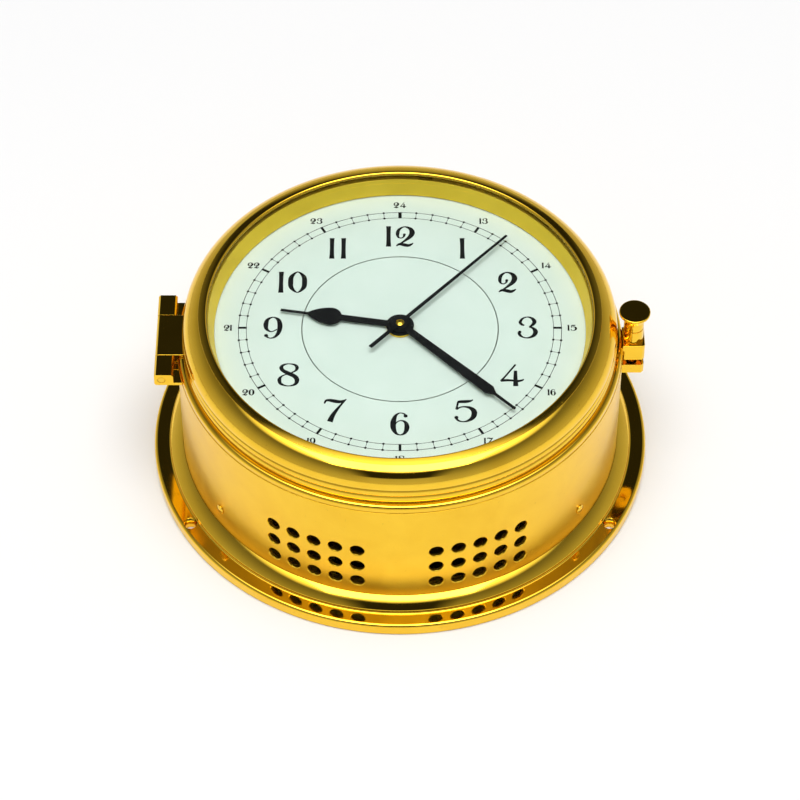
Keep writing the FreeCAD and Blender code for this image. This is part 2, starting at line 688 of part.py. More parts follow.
tab_angles = [
    SIX_OCLOCK + s.drum_screw_angle,
    SIX_OCLOCK - s.drum_screw_angle,
    TWELVE_OCLOCK + s.drum_screw_angle,
    TWELVE_OCLOCK - s.drum_screw_angle,
]
leaf_screw_angles = [NINE_OCLOCK + s.leaf_screw_angle, NINE_OCLOCK - s.leaf_screw_angle]
lug_screw_angles = [s.lug_screw_angle, -s.lug_screw_angle]
lug_screw_height = s.case_lug_top - s.case_lug_height * HALF
inner_head_seat = drum_inner - s.press_gap * 3


# The case

def base_flange():
    body = new_body("base_flange")
    step_inner = s.drum_radius + s.slip_clearance
    cover_seat = s.cover_radius + s.slip_clearance
    turned(body, [
        (cover_seat, 0),
        (s.flange_radius, 0),
        (s.flange_radius, s.flange_thickness - s.flange_edge_round),
        (s.flange_radius - s.flange_edge_round, s.flange_thickness, s.flange_edge_round),
        (s.step_radius + s.step_foot_round, s.flange_thickness),
        (s.step_radius, s.flange_thickness + s.step_foot_round, -s.step_foot_round),
        (s.step_radius, s.step_side_height),
        (s.step_edge_radius, s.step_edge_height, s.step_round),
        (step_inner, s.step_height, s.step_swell),
        (step_inner, s.drum_seat),
        (spigot_radius, s.drum_seat),
        (spigot_radius, s.spigot_top),
        (spigot_inner, s.spigot_top),
        (spigot_inner, s.flange_thickness),
        (s.flange_bore_radius, s.flange_thickness),
        (s.flange_bore_radius, cover_front),
        (cover_seat, cover_front),
    ])
    for number, angle in enumerate(tab_angles):
        tab = radial_sketch(body, f"tab{number}", angle)
        box_outline(tab, spigot_inner, s.spigot_top - 1, spigot_radius, s.tab_top)
        revolve(tab, angle=s.tab_span, both_ways=True)
    drill_wall(body, "tab_hole", tab_angles, s.drum_screw_height, s.drum_screw_radius + s.thread_clearance)
    sink_floor = s.flange_thickness - s.mount_sink_depth
    mount = new_sketch(body, "mount_profile", "YZ_Plane", (s.mount_circle_radius, 0, 0))
    outline(mount, [
        (0, -1),
        (s.mount_hole_radius, -1),
        (s.mount_hole_radius, sink_floor),
        (s.mount_sink_radius, s.flange_thickness),
        (s.mount_sink_radius, s.flange_thickness + 1),
        (0, s.flange_thickness + 1),
    ])
    cut = groove(mount)
    about = new_sketch(body, "mount_axis")
    circle(about, 0, 0, s.mount_circle_radius)
    repeat([cut], about, s.mount_count)
    cover_hole = new_sketch(body, "cover_hole", base=(0, 0, s.flange_thickness))
    circle(cover_hole, s.cover_screw_circle, 0, s.cover_screw_radius + s.thread_clearance)
    repeat([pocket(cover_hole)], cover_hole, s.cover_screw_count)
    return body


def rear_cover():
    body = new_body("rear_cover")
    disc(body, s.cover_radius, cover_back, s.cover_thickness)
    sink = new_sketch(body, "screw_hole", "XZ_Plane", (s.cover_screw_circle, 0, 0))
    outline(sink, [
        (0, cover_back),
        (s.cover_screw_head_radius + s.thread_clearance, cover_back),
        (s.cover_screw_radius + s.thread_clearance, cover_front),
        (0, cover_front),
    ])
    cut = groove(sink)
    about = new_sketch(body, "screw_axis")
    circle(about, 0, 0, s.cover_screw_circle)
    repeat([cut], about, s.cover_screw_count)
    return body


def countersunk_screws(name, count, pitch_radius, head_face, head_radius, radius, head_depth, length, up):
    """Identical countersunk screws round Z. Their heads face -Z where up is 1, and +Z where it is -1."""
    body = new_body(name)
    profile = new_sketch(body, "screw", "XZ_Plane", (pitch_radius, 0, 0))
    corners = [
        (0, head_face),
        (head_radius, head_face),
        (radius, head_face + up * head_depth),
        (radius, head_face + up * length),
        (0, head_face + up * length),
    ]
    outline(profile, corners if up > 0 else corners[::-1])
    screw = revolve(profile)
    slot = new_sketch(body, "slot", base=(pitch_radius, 0, head_face))
    box_outline(slot, -head_radius, -s.slot_width * HALF, head_radius, s.slot_width * HALF)
    cut = pocket(slot, s.slot_depth, forward=up > 0)
    about = new_sketch(body, "axis")
    circle(about, 0, 0, pitch_radius)
    repeat([screw, cut], about, count)
    return body


def rear_cover_screws():
    return countersunk_screws(
        "rear_cover_screws", s.cover_screw_count, s.cover_screw_circle, cover_back,
        s.cover_screw_head_radius, s.cover_screw_radius, s.cover_thickness, s.cover_screw_length, 1,
    )


def case_drum():
    body = new_body("case_drum")
    ring(body, drum_inner, s.drum_radius, s.drum_seat, s.drum_top)
    for name, side, first in (("left", -1, s.vent_left_angle), ("right", 1, s.vent_right_angle)):
        vents = wall_sketch(body, f"vents_{name}", SIX_OCLOCK + side * first)
        for row in range(int(s.vent_rows.value)):
            circle(vents, 0, s.vent_top_height - row * s.vent_row_step, s.vent_radius)
        column = pocket(vents, forward=True)
        span = s.vent_column_step * (s.vent_columns - 1)
        repeat([column], vents, s.vent_columns, span, "V_Axis", backwards=side < 0)
    drum_screw_hole = s.drum_screw_radius + s.slip_clearance
    drill_wall(body, "drum_screw_hole", tab_angles, s.drum_screw_height, drum_screw_hole)
    inner_hole = s.inner_screw_radius + s.slip_clearance
    drill_wall(body, "leaf_screw_hole", leaf_screw_angles, s.leaf_screw_height, inner_hole)
    drill_wall(body, "lug_screw_hole", lug_screw_angles, lug_screw_height, inner_hole)
    return body


def wall_screws(name, angles, height, seat, side, length, radius, head_radius):
    """Round-headed screws through a round wall. Their heads bear on it at the radius seat, outside
    it where side is 1 and inside where it is -1, and the shanks run the other way."""
    body = new_body(name)
    face = seat + side * s.drum_screw_head_height
    edge = seat + side * s.drum_screw_head_height * HALF
    tip = seat - side * length
    dome = swell_radius(2 * head_radius, s.drum_screw_head_height * HALF)
    for number, angle in enumerate(angles):
        profile = radial_sketch(body, f"screw{number}", angle, height)
        shank = [(seat, head_radius), (seat, radius), (tip, radius)]
        if side > 0:
            outline(profile, [(tip, 0), (face, 0), (edge, head_radius, dome)] + shank)
        else:
            outline(profile, [(face, 0, dome), (tip, 0)] + shank[::-1] + [(edge, head_radius)])
        revolve(profile, "H_Axis")
        slot = wall_sketch(body, f"slot{number}", angle, face, height)
        box_outline(slot, -head_radius, -s.slot_width * HALF, head_radius, s.slot_width * HALF)
        pocket(slot, s.slot_depth, forward=side < 0)
    return body


def drum_screws():
    seat = s.drum_radius + s.press_gap * 3
    return wall_screws(
        "drum_screws", tab_angles, s.drum_screw_height, seat, 1, seat - spigot_inner - s.slot_depth,
        s.drum_screw_radius, s.drum_screw_head_radius,
    )


def hinge_leaf_screws():
    return wall_screws(
        "hinge_leaf_screws", leaf_screw_angles, s.leaf_screw_height, inner_head_seat, -1,
        s.leaf_screw_length, s.inner_screw_radius, s.inner_screw_head_radius,
    )


def latch_lug_screws():
    return wall_screws(
        "latch_lug_screws", lug_screw_angles, lug_screw_height, inner_head_seat, -1,
        s.lug_screw_length, s.inner_screw_radius, s.inner_screw_head_radius,
    )


def sunk_holes(body, count, pitch_radius, top, head_radius, radius, head_depth, name="screw_hole"):
    """Countersunk holes round Z for screws whose heads face +Z."""
    sink = new_sketch(body, name, "XZ_Plane", (pitch_radius, 0, 0))
    outline(sink, [
        (0, top - head_depth),
        (radius + s.thread_clearance, top - head_depth),
        (head_radius + s.thread_clearance, top),
        (0, top),
    ])
    cut = groove(sink)
    about = new_sketch(body, f"{name}_axis")
    circle(about, 0, 0, pitch_radius)
    repeat([cut], about, count)


def rim_ring():
    body = new_body("rim_ring")
    ring(body, s.rim_ring_bore, drum_inner - s.press_gap, rim_ring_bottom, s.drum_top)
    hole = new_sketch(body, "screw_hole", base=(0, 0, s.drum_top))
    circle(hole, s.dial_ring_screw_circle, 0, s.dial_screw_radius + s.thread_clearance)
    repeat([pocket(hole, s.dial_ring_screw_length)], hole, s.dial_screw_count)
    return body


def dial_ring():
    body = new_body("dial_ring")
    inner = dial_ring_radius - s.dial_ring_wall
    ledge_bottom = dial_back - s.dial_ledge_thickness
    shoulder_top = s.drum_top + s.dial_ring_shoulder_height
    turned(body, [
        (inner, rim_ring_bottom),
        (dial_ring_radius, rim_ring_bottom),
        (dial_ring_radius, s.drum_top),
        (s.dial_ring_shoulder, s.drum_top),
        (s.dial_ring_shoulder, shoulder_top),
        (dial_ring_radius, shoulder_top),
        (dial_ring_radius, dial_back),
        (s.dial_ledge_radius, dial_back),
        (s.dial_ledge_radius, ledge_bottom),
        (inner, ledge_bottom),
    ])
    hole = new_sketch(body, "screw_hole", base=(0, 0, dial_back))
    circle(hole, s.dial_screw_circle, 0, s.dial_screw_radius + s.thread_clearance)
    repeat([pocket(hole, s.dial_screw_length)], hole, s.dial_screw_count)
    sunk_holes(body, s.dial_screw_count, s.dial_ring_screw_circle, shoulder_top,
               s.dial_ring_screw_head_radius, s.dial_screw_radius, s.dial_ring_shoulder_height, "foot_hole")
    return body


def dial_ring_screws():
    return countersunk_screws(
        "dial_ring_screws", s.dial_screw_count, s.dial_ring_screw_circle,
        s.drum_top + s.dial_ring_shoulder_height, s.dial_ring_screw_head_radius, s.dial_screw_radius,
        s.dial_ring_shoulder_height, s.dial_ring_screw_length, -1,
    )


def dial_plate():
    body = new_body("dial_plate")
    sketch = new_sketch(body, "outline", base=(0, 0, dial_back))
    circle(sketch, 0, 0, dial_ring_radius - s.slip_clearance)
    circle(sketch, 0, 0, s.dial_hole_radius)
    pad(sketch, s.dial_thickness)
    sunk_holes(body, s.dial_screw_count, s.dial_screw_circle, s.dial_top,
               s.dial_screw_head_radius, s.dial_screw_radius, s.dial_thickness)
    return body


def dial_screws():
    return countersunk_screws(
        "dial_screws", s.dial_screw_count, s.dial_screw_circle, s.dial_top,
        s.dial_screw_head_radius, s.dial_screw_radius, s.dial_thickness, s.dial_screw_length, -1,
    )


# The hinge

def knuckle_top(reach_left, top):
    """Upper corners of a knuckle, from its inner edge round to the rounded lower outer edge."""
    return [
        (reach_left + s.hinge_chamfer, top),
        (reach_left, top - s.hinge_chamfer),
        (reach_left, s.hinge_z - s.hinge_half + s.hinge_round),
    ]


def hinge_case_leaf():
    body = new_body("hinge_case_leaf")
    left = hinge_left - s.hinge_half
    top = s.hinge_z + s.hinge_half
    bottom = s.hinge_z - s.hinge_half
    inside = s.drum_wall - s.drum_radius + 3
    leaf_top = s.drum_top - s.bezel_gap
    side_length = (s.hinge_length - s.hinge_middle_length) * HALF - s.hinge_side_gap
    offset = (s.hinge_length - side_length) * HALF
    for name, side in (("near", 1), ("far", -1)):
        knuckle = new_sketch(body, f"{name}_knuckle", "XZ_Plane", (0, 0, side * offset))
        outline(knuckle, [
            (left + s.hinge_round, bottom, s.hinge_round),
            (inside, bottom),
            (inside, leaf_top),
            (hinge_left + s.hinge_side_reach, leaf_top),
            (hinge_left + s.hinge_side_reach, top - s.hinge_chamfer),
            (hinge_left + s.hinge_side_reach - s.hinge_chamfer, top),
        ] + knuckle_top(left, top))
        pad(knuckle, side_length, both_ways=True)
    web = new_sketch(body, "web", "XZ_Plane")
    web_left = -s.drum_radius - s.hinge_web_thickness
    box_outline(web, web_left, leaf_top - s.hinge_web_depth, inside, leaf_top)
    pad(web, s.hinge_web_length, both_ways=True)
    wall = new_sketch(body, "drum_face", base=(0, 0, 0))
    circle(wall, 0, 0, s.drum_radius)
    pocket(wall, forward=True)
    bore = new_sketch(body, "bore", "XZ_Plane")
    circle(bore, hinge_left, s.hinge_z, s.hinge_pin_radius + s.press_gap)
    pocket(bore, s.hinge_length + 2, both_ways=True)
    reach = inner_head_seat + s.leaf_screw_length + s.slip_clearance
    drill_wall(body, "screw_hole", leaf_screw_angles, s.leaf_screw_height,
               s.inner_screw_radius + s.thread_clearance, reach)
    return body


def hinge_bezel_leaf():
    body = new_body("hinge_bezel_leaf")
    left = hinge_left - s.hinge_half
    top = s.hinge_z + s.hinge_half
    bottom = s.hinge_z - s.hinge_half
    inside = -s.bezel_bore_radius
    leaf = new_sketch(body, "knuckle", "XZ_Plane")
    outline(leaf, [
        (left + s.hinge_round, bottom, s.hinge_round),
        (hinge_left + s.hinge_half - s.hinge_round, bottom),
        (hinge_left + s.hinge_half, bottom + s.hinge_round, s.hinge_round),
        (hinge_left + s.hinge_half, bezel_bottom),
        (inside, bezel_bottom),
        (inside, top),
    ] + knuckle_top(left, top))
    pad(leaf, s.hinge_middle_length, both_ways=True)
    foot = new_sketch(body, "base_face", base=(0, 0, base_top))
    circle(foot, 0, 0, s.bezel_base_radius)
    pocket(foot)
    beads = new_sketch(body, "bead_face", base=(0, 0, base_top))
    circle(beads, 0, 0, s.bezel_neck_radius + s.bead_swell)
    pocket(beads, forward=True)
    bore = new_sketch(body, "bore", "XZ_Plane")
    circle(bore, hinge_left, s.hinge_z, s.hinge_pin_radius + s.hinge_running_fit)
    pocket(bore, s.hinge_length, both_ways=True)
    return body


def hinge_pin():
    body = new_body("hinge_pin")
    sketch = new_sketch(body, "section", "XZ_Plane")
    circle(sketch, hinge_left, s.hinge_z, s.hinge_pin_radius)
    pad(sketch, s.hinge_length, both_ways=True)
    return body


# The bezel

def bezel_ring():
    body = new_body("bezel_ring")
    bead_radius = swell_radius(s.bead_height, s.bead_swell)
    first_bead = base_top + s.bezel_line
    second_bead = first_bead + s.bead_height
    neck_top = second_bead + s.bead_height + s.bezel_line
    seal_outer = s.seal_inner_radius + s.seal_width
    seal_top = bezel_bottom + s.seal_depth
    turned(body, [
        (s.bezel_bore_radius, bezel_bottom),
        (s.seal_inner_radius, bezel_bottom),
        (s.seal_inner_radius, seal_top),
        (seal_outer, seal_top),
        (seal_outer, bezel_bottom),
        (s.bezel_base_radius, bezel_bottom),
        (s.bezel_base_radius, base_top - s.bezel_base_round),
        (s.bezel_base_radius - s.bezel_base_round, base_top, s.bezel_base_round),
        (s.bezel_neck_radius, base_top),
        (s.bezel_neck_radius, first_bead),
        (s.bezel_neck_radius, second_bead, bead_radius),
        (s.bezel_neck_radius, second_bead + s.bead_height, bead_radius),
        (s.bezel_neck_radius, neck_top),
        (s.shoulder_radius, neck_top),
        (s.shoulder_radius, s.shoulder_foot),
        (s.shoulder_middle_radius, s.shoulder_middle, s.shoulder_round),
        (s.lip_outer_radius, s.bezel_top - s.shoulder_drop, s.shoulder_swell),
        (s.lip_outer_radius, s.bezel_top - s.lip_fall),
        (s.sight_radius + s.lip_round, s.bezel_top),
        (s.sight_radius, s.bezel_top - s.lip_round, s.lip_round),
        (s.sight_radius, s.lip_underside),
        (s.glass_seat_radius, s.lip_underside),
        (s.glass_seat_radius, retainer_bottom),
        (s.bezel_bore_radius, retainer_bottom),
    ])
    return body


def bezel_glass():
    body = new_body("bezel_glass")
    disc(body, glass_radius, glass_bottom, s.glass_thickness)
    return body


def glass_gasket():
    body = new_body("glass_gasket")
    ring(body, s.gasket_inner_radius, glass_radius, glass_top, s.lip_underside)
    return body


def glass_retaining_ring():
    body = new_body("glass_retaining_ring")
    outer = s.glass_seat_radius - s.thread_clearance
    turned(body, [
        (s.retainer_foot_radius, retainer_bottom),
        (outer, retainer_bottom),
        (outer, glass_bottom),
        (s.retainer_top_radius, glass_bottom),
    ])
    return body


def dust_seal():
    body = new_body("dust_seal")
    outer = s.seal_inner_radius + s.seal_width
    ring(body, s.seal_inner_radius, outer, bezel_bottom + s.seal_inset, bezel_bottom + s.seal_depth)
    return body


# The latch

def lug_block(body, bottom, top):
    """A block that runs out from the wall at three o'clock, its outer corners cut off."""
    block = new_sketch(body, "block", base=(0, 0, bottom))
    inside = s.bezel_bore_radius
    outline(block, [
        (inside, -s.lug_half_width),
        (s.lug_end_x - s.lug_corner, -s.lug_half_width),
        (s.lug_end_x, -s.lug_half_width + s.lug_corner),
        (s.lug_end_x, s.lug_half_width - s.lug_corner),
        (s.lug_end_x - s.lug_corner, s.lug_half_width),
        (inside, s.lug_half_width),
    ])
    pad(block, top - bottom)


def latch_bezel_lug():
    body = new_body("latch_bezel_lug")
    lug_block(body, s.bezel_lug_bottom, base_top)
    wall = new_sketch(body, "bezel_face", base=(0, 0, base_top))
    circle(wall, 0, 0, s.bezel_base_radius)
    pocket(wall)
    clear = new_sketch(body, "drum_clearance", base=(0, 0, bezel_bottom))
    circle(clear, 0, 0, s.drum_radius + s.lug_drum_clearance)
    pocket(clear)
    drill(body, s.latch_x, 0, s.stud_radius + s.stud_running_fit, base_top, base_top - s.bezel_lug_bottom)
    counterbore = new_sketch(body, "counterbore", base=(0, 0, s.bezel_lug_bottom))
    circle(counterbore, s.latch_x, 0, s.stud_tip_radius + s.lug_counterbore_play)
    pocket(counterbore, s.lug_counterbore_depth, forward=True)
    return body


def latch_case_lug():
    body = new_body("latch_case_lug")
    lug_block(body, case_lug_bottom, s.case_lug_top)
    wall = new_sketch(body, "drum_face", base=(0, 0, s.case_lug_top))
    circle(wall, 0, 0, s.drum_radius)
    pocket(wall)
    drill(body, s.latch_x, 0, s.lug_thread_radius, s.case_lug_top, s.case_lug_height)
    reach = inner_head_seat + s.lug_screw_length + s.slip_clearance
    drill_wall(body, "screw_hole", lug_screw_angles, lug_screw_height,
               s.inner_screw_radius + s.thread_clearance, reach)
    return body


def latch_stud():
    body = new_body("latch_stud", s.latch_x)
    turned(body, [
        (0, stud_tip_bottom),
        (s.stud_tip_radius - s.slip_clearance, stud_tip_bottom),
        (s.stud_tip_radius, stud_tip_bottom + s.slip_clearance),
        (s.stud_tip_radius, s.stud_tip_top),
        (s.stud_radius, s.stud_tip_top),
        (s.stud_radius, s.stud_head_top),
        (0, s.stud_head_top),
    ])
    return body


def latch_knob():
    body = new_body("latch_knob", s.latch_x)
    bore = s.stud_radius + s.stud_running_fit
    line = knob_foot + s.knob_groove_height
    flare = knob_foot + s.knob_flare_height
    head = knob_foot + s.knob_head_height
    rim = head + s.knob_rim_height
    line_radius = s.knob_body_radius - s.knob_groove_depth
    wide = s.knob_head_radius - s.knob_body_radius
    tall = s.knob_head_height - s.knob_flare_height
    flare_chord_squared = wide * wide + tall * tall
    flare_radius = flare_chord_squared / (8 * s.knob_flare_hollow) + s.knob_flare_hollow * HALF
    turned(body, [
        (bore, knob_foot),
        (s.knob_foot_radius, knob_foot),
        (s.knob_body_radius, line),
        (line_radius, line),
        (line_radius, line + s.knob_groove_width),
        (s.knob_body_radius, line + s.knob_groove_width),
        (s.knob_body_radius, flare),
        (s.knob_head_radius, head, -flare_radius),
        (s.knob_head_radius, rim - s.knob_rim_round),
        (s.knob_head_radius - s.knob_rim_round, rim, s.knob_rim_round),
        (0, rim + s.knob_cone_height),
        (0, s.stud_head_top + s.stud_running_fit),
        (bore, s.stud_head_top + s.stud_running_fit),
    ])
    return body


# The movement's case

def movement_rear_case():
    body = new_body("movement_rear_case")
    half = s.movement_half
    block = new_sketch(body, "block", base=(0, 0, movement_back))
    box_outline(block, -half, -half, half, half)
    pad(block, movement_split - movement_back)
    train = new_sketch(body, "train_room", base=(0, 0, movement_split))
    box_outline(train, -cavity_half, train_bottom, cavity_half, cavity_half)
    pocket(train, movement_split - movement_floor)
    bay = new_sketch(body, "battery_bay", base=(0, 0, movement_split))
    box_outline(bay, -cavity_half, bay_bottom, cavity_half, bay_top)
    pocket(bay)
    pivots = new_sketch(body, "pivot_holes", base=(0, 0, movement_floor))
    for x, y in ((0, 0), (intermediate_x, intermediate_y), (rotor_x, rotor_y), (third_x, third_y)):
        circle(pivots, x, y, pivot_hole)
    circle(pivots, setting_x, setting_y, s.setting_shaft_radius + s.pivot_fit)
    pocket(pivots)
    return body


def movement_middle_plate():
    body = new_body("movement_middle_plate")
    edge = cavity_half - s.plate_gap
    sketch = new_sketch(body, "outline", base=(0, 0, plate_bottom))
    box_outline(sketch, -edge, train_bottom + s.plate_gap, edge, edge)
    circle(sketch, 0, 0, s.minute_pipe_radius + s.pivot_fit)
    for x, y in ((intermediate_x, intermediate_y), (rotor_x, rotor_y), (third_x, third_y),
                 (minute_x, minute_y)):
        circle(sketch, x, y, pivot_hole)
    circle(sketch, setting_x, setting_y, s.setting_shaft_radius + s.pivot_fit)
    pad(sketch, s.plate_thickness)
    return body


def movement_front_case():
    body = new_body("movement_front_case")
    half = s.movement_half
    block = new_sketch(body, "block", base=(0, 0, movement_split))
    box_outline(block, -half, -half, half, half)
    pad(block, s.movement_front_depth)
    disc(body, s.boss_radius, movement_front, s.boss_height, "boss")
    rooms = (("train_room", train_bottom, cavity_half), ("battery_bay", bay_bottom, bay_top))
    for name, bottom, top in rooms:
        room = new_sketch(body, name, base=(0, 0, movement_split))
        box_outline(room, -cavity_half, bottom, cavity_half, top)
        pocket(room, movement_roof - movement_split, forward=True)
    drill(body, 0, 0, boss_bore, movement_front + s.boss_height, s.boss_height + s.movement_wall, "centre")
    pivot = new_sketch(body, "minute_pivot", base=(0, 0, movement_roof))
    circle(pivot, minute_x, minute_y, pivot_hole)
    pocket(pivot, s.pivot_length + s.pivot_fit, forward=True)
    return body


def dial_washer():
    body = new_body("dial_washer")
    ring(body, s.dial_hole_radius, s.washer_radius, movement_front, dial_back)
    return body


def fixing_nut():
    body = new_body("fixing_nut")
    ring(body, s.boss_radius + s.thread_clearance, s.nut_radius, s.dial_top, s.dial_top + s.nut_height)
    return body


def battery_axis_height():
    return movement_roof - s.bay_half_width - s.battery_tip_length * HALF


def battery():
    body = new_body("battery")
    half = s.battery_length * HALF
    profile = new_sketch(body, "profile", "XZ_Plane", (0, battery_axis_height(), -bay_middle))
    outline(profile, [
        (-half, 0),
        (half + s.battery_tip_length, 0),
        (half + s.battery_tip_length, s.battery_tip_radius),
        (half, s.battery_tip_radius),
        (half, s.battery_radius),
        (-half, s.battery_radius),
    ])
    revolve(profile, "H_Axis")
    return body


def battery_contact(name, side, face):
    """A contact plate at one end of the bay; face is its distance from the middle."""
    body = new_body(name)
    plate = wall_sketch(body, "plate", 0 if side > 0 else NINE_OCLOCK, face, battery_axis_height())
    centre = side * bay_middle
    box_outline(plate, centre - s.contact_half_width, -s.contact_half_height,
                centre + s.contact_half_width, s.contact_half_height)
    pad(plate, s.contact_thickness)
    return body


def battery_contact_positive():
    return battery_contact("battery_contact_positive", 1, s.battery_length * HALF + s.battery_tip_length)


def battery_contact_negative():
    face = cavity_half - s.contact_thickness - s.plate_gap
    body = battery_contact("battery_contact_negative", -1, face)
    spring = new_sketch(body, "spring", "XZ_Plane", (0, battery_axis_height(), -bay_middle))
    outline(spring, [
        (-face, 0),
        (-s.battery_length * HALF, 0),
        (-s.battery_length * HALF, s.spring_radius * HALF),
        (-face, s.spring_radius),
    ])
    revolve(spring, "H_Axis")
    return body


# The stepping motor and the circuit

def stator():
    body = new_body("stator", rotor_x, rotor_y)
    sketch = new_sketch(body, "outline", base=(0, 0, movement_floor + s.stator_level))
    legs = s.stator_half_width
    inner = legs - s.stator_leg_width
    poles = s.stator_pole_half
    outline(sketch, [
        (-poles, -s.stator_pole_reach),
        (poles, -s.stator_pole_reach),
        (poles, 0),
        (legs, s.stator_leg_width),
        (legs, s.stator_length),
        (inner, s.stator_length),
        (inner, poles),
        (-inner, poles),
        (-inner, s.stator_length),
        (-legs, s.stator_length),
        (-legs, s.stator_leg_width),
        (-poles, 0),
    ])
    circle(sketch, 0, 0, s.stator_bore)
    pad(sketch, s.stator_thickness)
    return body


def coil_height():
    return movement_floor + s.stator_level + s.stator_thickness + s.core_height * HALF


def coil_sketch(body, name):
    """A sketch across the coil, with the coil's axis at its origin."""
    return new_sketch(body, name, "YZ_Plane", (s.coil_offset, coil_height(), 0))


def coil_core():
    body = new_body("coil_core", rotor_x, rotor_y)
    section = coil_sketch(body, "section")
    side = s.core_width * HALF
    rise = s.core_height * HALF
    box_outline(section, -side, -rise, side, rise)
    pad(section, 2 * s.stator_half_width, both_ways=True)
    return body


def coil_profile(body, corners):
    """Turn a profile about the coil's axis: corners are (along the axis, radius)."""
    profile = new_sketch(body, "profile", "XZ_Plane", (0, coil_height(), -s.coil_offset))
    outline(profile, corners)
    revolve(profile, "H_Axis")


def coil_bobbin():
    body = new_body("coil_bobbin", rotor_x, rotor_y)
    end = s.bobbin_length * HALF
    inner = end - s.bobbin_flange
    coil_profile(body, [
        (-end, s.bobbin_bore),
        (end, s.bobbin_bore),
        (end, s.bobbin_flange_radius),
        (inner, s.bobbin_flange_radius),
        (inner, s.bobbin_tube),
        (-inner, s.bobbin_tube),
        (-inner, s.bobbin_flange_radius),
        (-end, s.bobbin_flange_radius),
    ])
    return body


def coil_winding():
    body = new_body("coil_winding", rotor_x, rotor_y)
    inner = s.bobbin_length * HALF - s.bobbin_flange - s.press_gap
    tube = s.bobbin_tube + s.press_gap
    outside = s.winding_radius
    coil_profile(body, [(-inner, tube), (inner, tube), (inner, outside), (-inner, outside)])
    return body


def circuit_board():
    body = new_body("circuit_board")
    sketch = new_sketch(body, "outline", base=(0, 0, movement_floor + s.board_level))
    box_outline(sketch, s.board_left, s.board_bottom, s.board_left + s.board_length,
                s.board_bottom + s.board_width)
    pad(sketch, s.board_thickness)
    return body


def board_top():
    return movement_floor + s.board_level + s.board_thickness


def timing_chip():
    middle = s.board_bottom + s.board_width * HALF
    body = new_body("timing_chip", s.board_left + s.chip_place, middle, board_top())
    dome = swell_radius(2 * s.chip_radius, s.chip_height)
    turned(body, [(0, 0), (s.chip_radius, 0), (0, s.chip_height, dome)])
    return body


def quartz_crystal():
    left = s.board_left + s.crystal_place
    middle = s.board_bottom + s.board_width * HALF
    body = new_body("quartz_crystal", left, middle, board_top() + s.crystal_radius)
    profile = new_sketch(body, "profile", "XZ_Plane")
    box_outline(profile, 0, 0, s.crystal_length, s.crystal_radius)
    revolve(profile, "H_Axis")
    return body


# The train

def spindle(body, bottom, top, name="spindle"):
    """A spindle between two heights with a pivot beyond each end."""
    disc(body, s.spindle_radius, bottom, top - bottom, name)
    disc(body, s.pivot_radius, bottom - s.pivot_length, s.pivot_length, f"{name}_lower_pivot")
    disc(body, s.pivot_radius, top, s.pivot_length, f"{name}_upper_pivot")


def rotor_pinion():
    body = new_body("rotor_pinion", rotor_x, rotor_y)
    mesh = s.rotor_angle + HALF_TURN + HALF_TURN / s.rotor_teeth
    toothed(body, "pinion", s.rotor_teeth, s.train_module, movement_floor + s.rotor_pinion_level,
            s.rotor_pinion_height, mesh)
    spindle(body, movement_floor, plate_bottom)
    return body


def rotor_magnet():
    body = new_body("rotor_magnet", rotor_x, rotor_y)
    bottom = movement_floor + s.rotor_magnet_level
    top = bottom + s.rotor_magnet_height
    ring(body, s.spindle_radius + s.press_gap, s.rotor_magnet_radius, bottom, top)
    return body


def intermediate_wheel():
    body = new_body("intermediate_wheel", intermediate_x, intermediate_y)
    bottom = movement_floor + s.intermediate_level
    top = bottom + s.wheel_thickness
    mesh = s.intermediate_angle + HALF_TURN + HALF_TURN / s.intermediate_pinion_teeth
    toothed(body, "wheel", s.intermediate_teeth, s.train_module, bottom, s.wheel_thickness, s.rotor_angle)
    toothed(body, "pinion", s.intermediate_pinion_teeth, s.train_module, top,
            s.intermediate_pinion_height, mesh)
    spindle(body, movement_floor, plate_bottom)
    return body


def seconds_wheel():
    body = new_body("seconds_wheel")
    bottom = movement_floor + s.seconds_level
    toothed(body, "wheel", s.seconds_teeth, s.train_module, bottom, s.wheel_thickness, s.intermediate_angle)
    toothed(body, "pinion", s.seconds_pinion_teeth, seconds_module, bottom + s.wheel_thickness,
            s.seconds_pinion_height, s.third_angle)
    disc(body, s.seconds_arbor_radius, movement_floor, second_hand_top - movement_floor, "arbor")
    disc(body, s.pivot_radius, movement_floor - s.pivot_length, s.pivot_length, "pivot")
    return body


def third_wheel():
    body = new_body("third_wheel", third_x, third_y)
    bottom = movement_floor + s.third_level
    mesh = s.third_angle + HALF_TURN + HALF_TURN / s.third_teeth
    toothed(body, "wheel", s.third_teeth, seconds_module, bottom, s.wheel_thickness, mesh)
    toothed(body, "pinion", s.third_pinion_teeth, s.train_module, bottom + s.wheel_thickness,
            s.third_pinion_height, s.third_angle + HALF_TURN)
    spindle(body, movement_floor, plate_bottom)
    return body


def centre_wheel():
    body = new_body("centre_wheel")
    bottom = movement_floor + s.centre_level
    mesh = s.third_angle + HALF_TURN / s.centre_teeth
    toothed(body, "wheel", s.centre_teeth, s.train_module, bottom, s.wheel_thickness, mesh)
    disc(body, s.centre_hub_radius, bottom - s.centre_hub_height, s.centre_hub_height, "hub")
    bore = s.pipe_seat_radius + s.pivot_fit
    drill(body, 0, 0, bore, bottom + s.wheel_thickness, s.wheel_thickness + s.centre_hub_height, "bore")
    return body


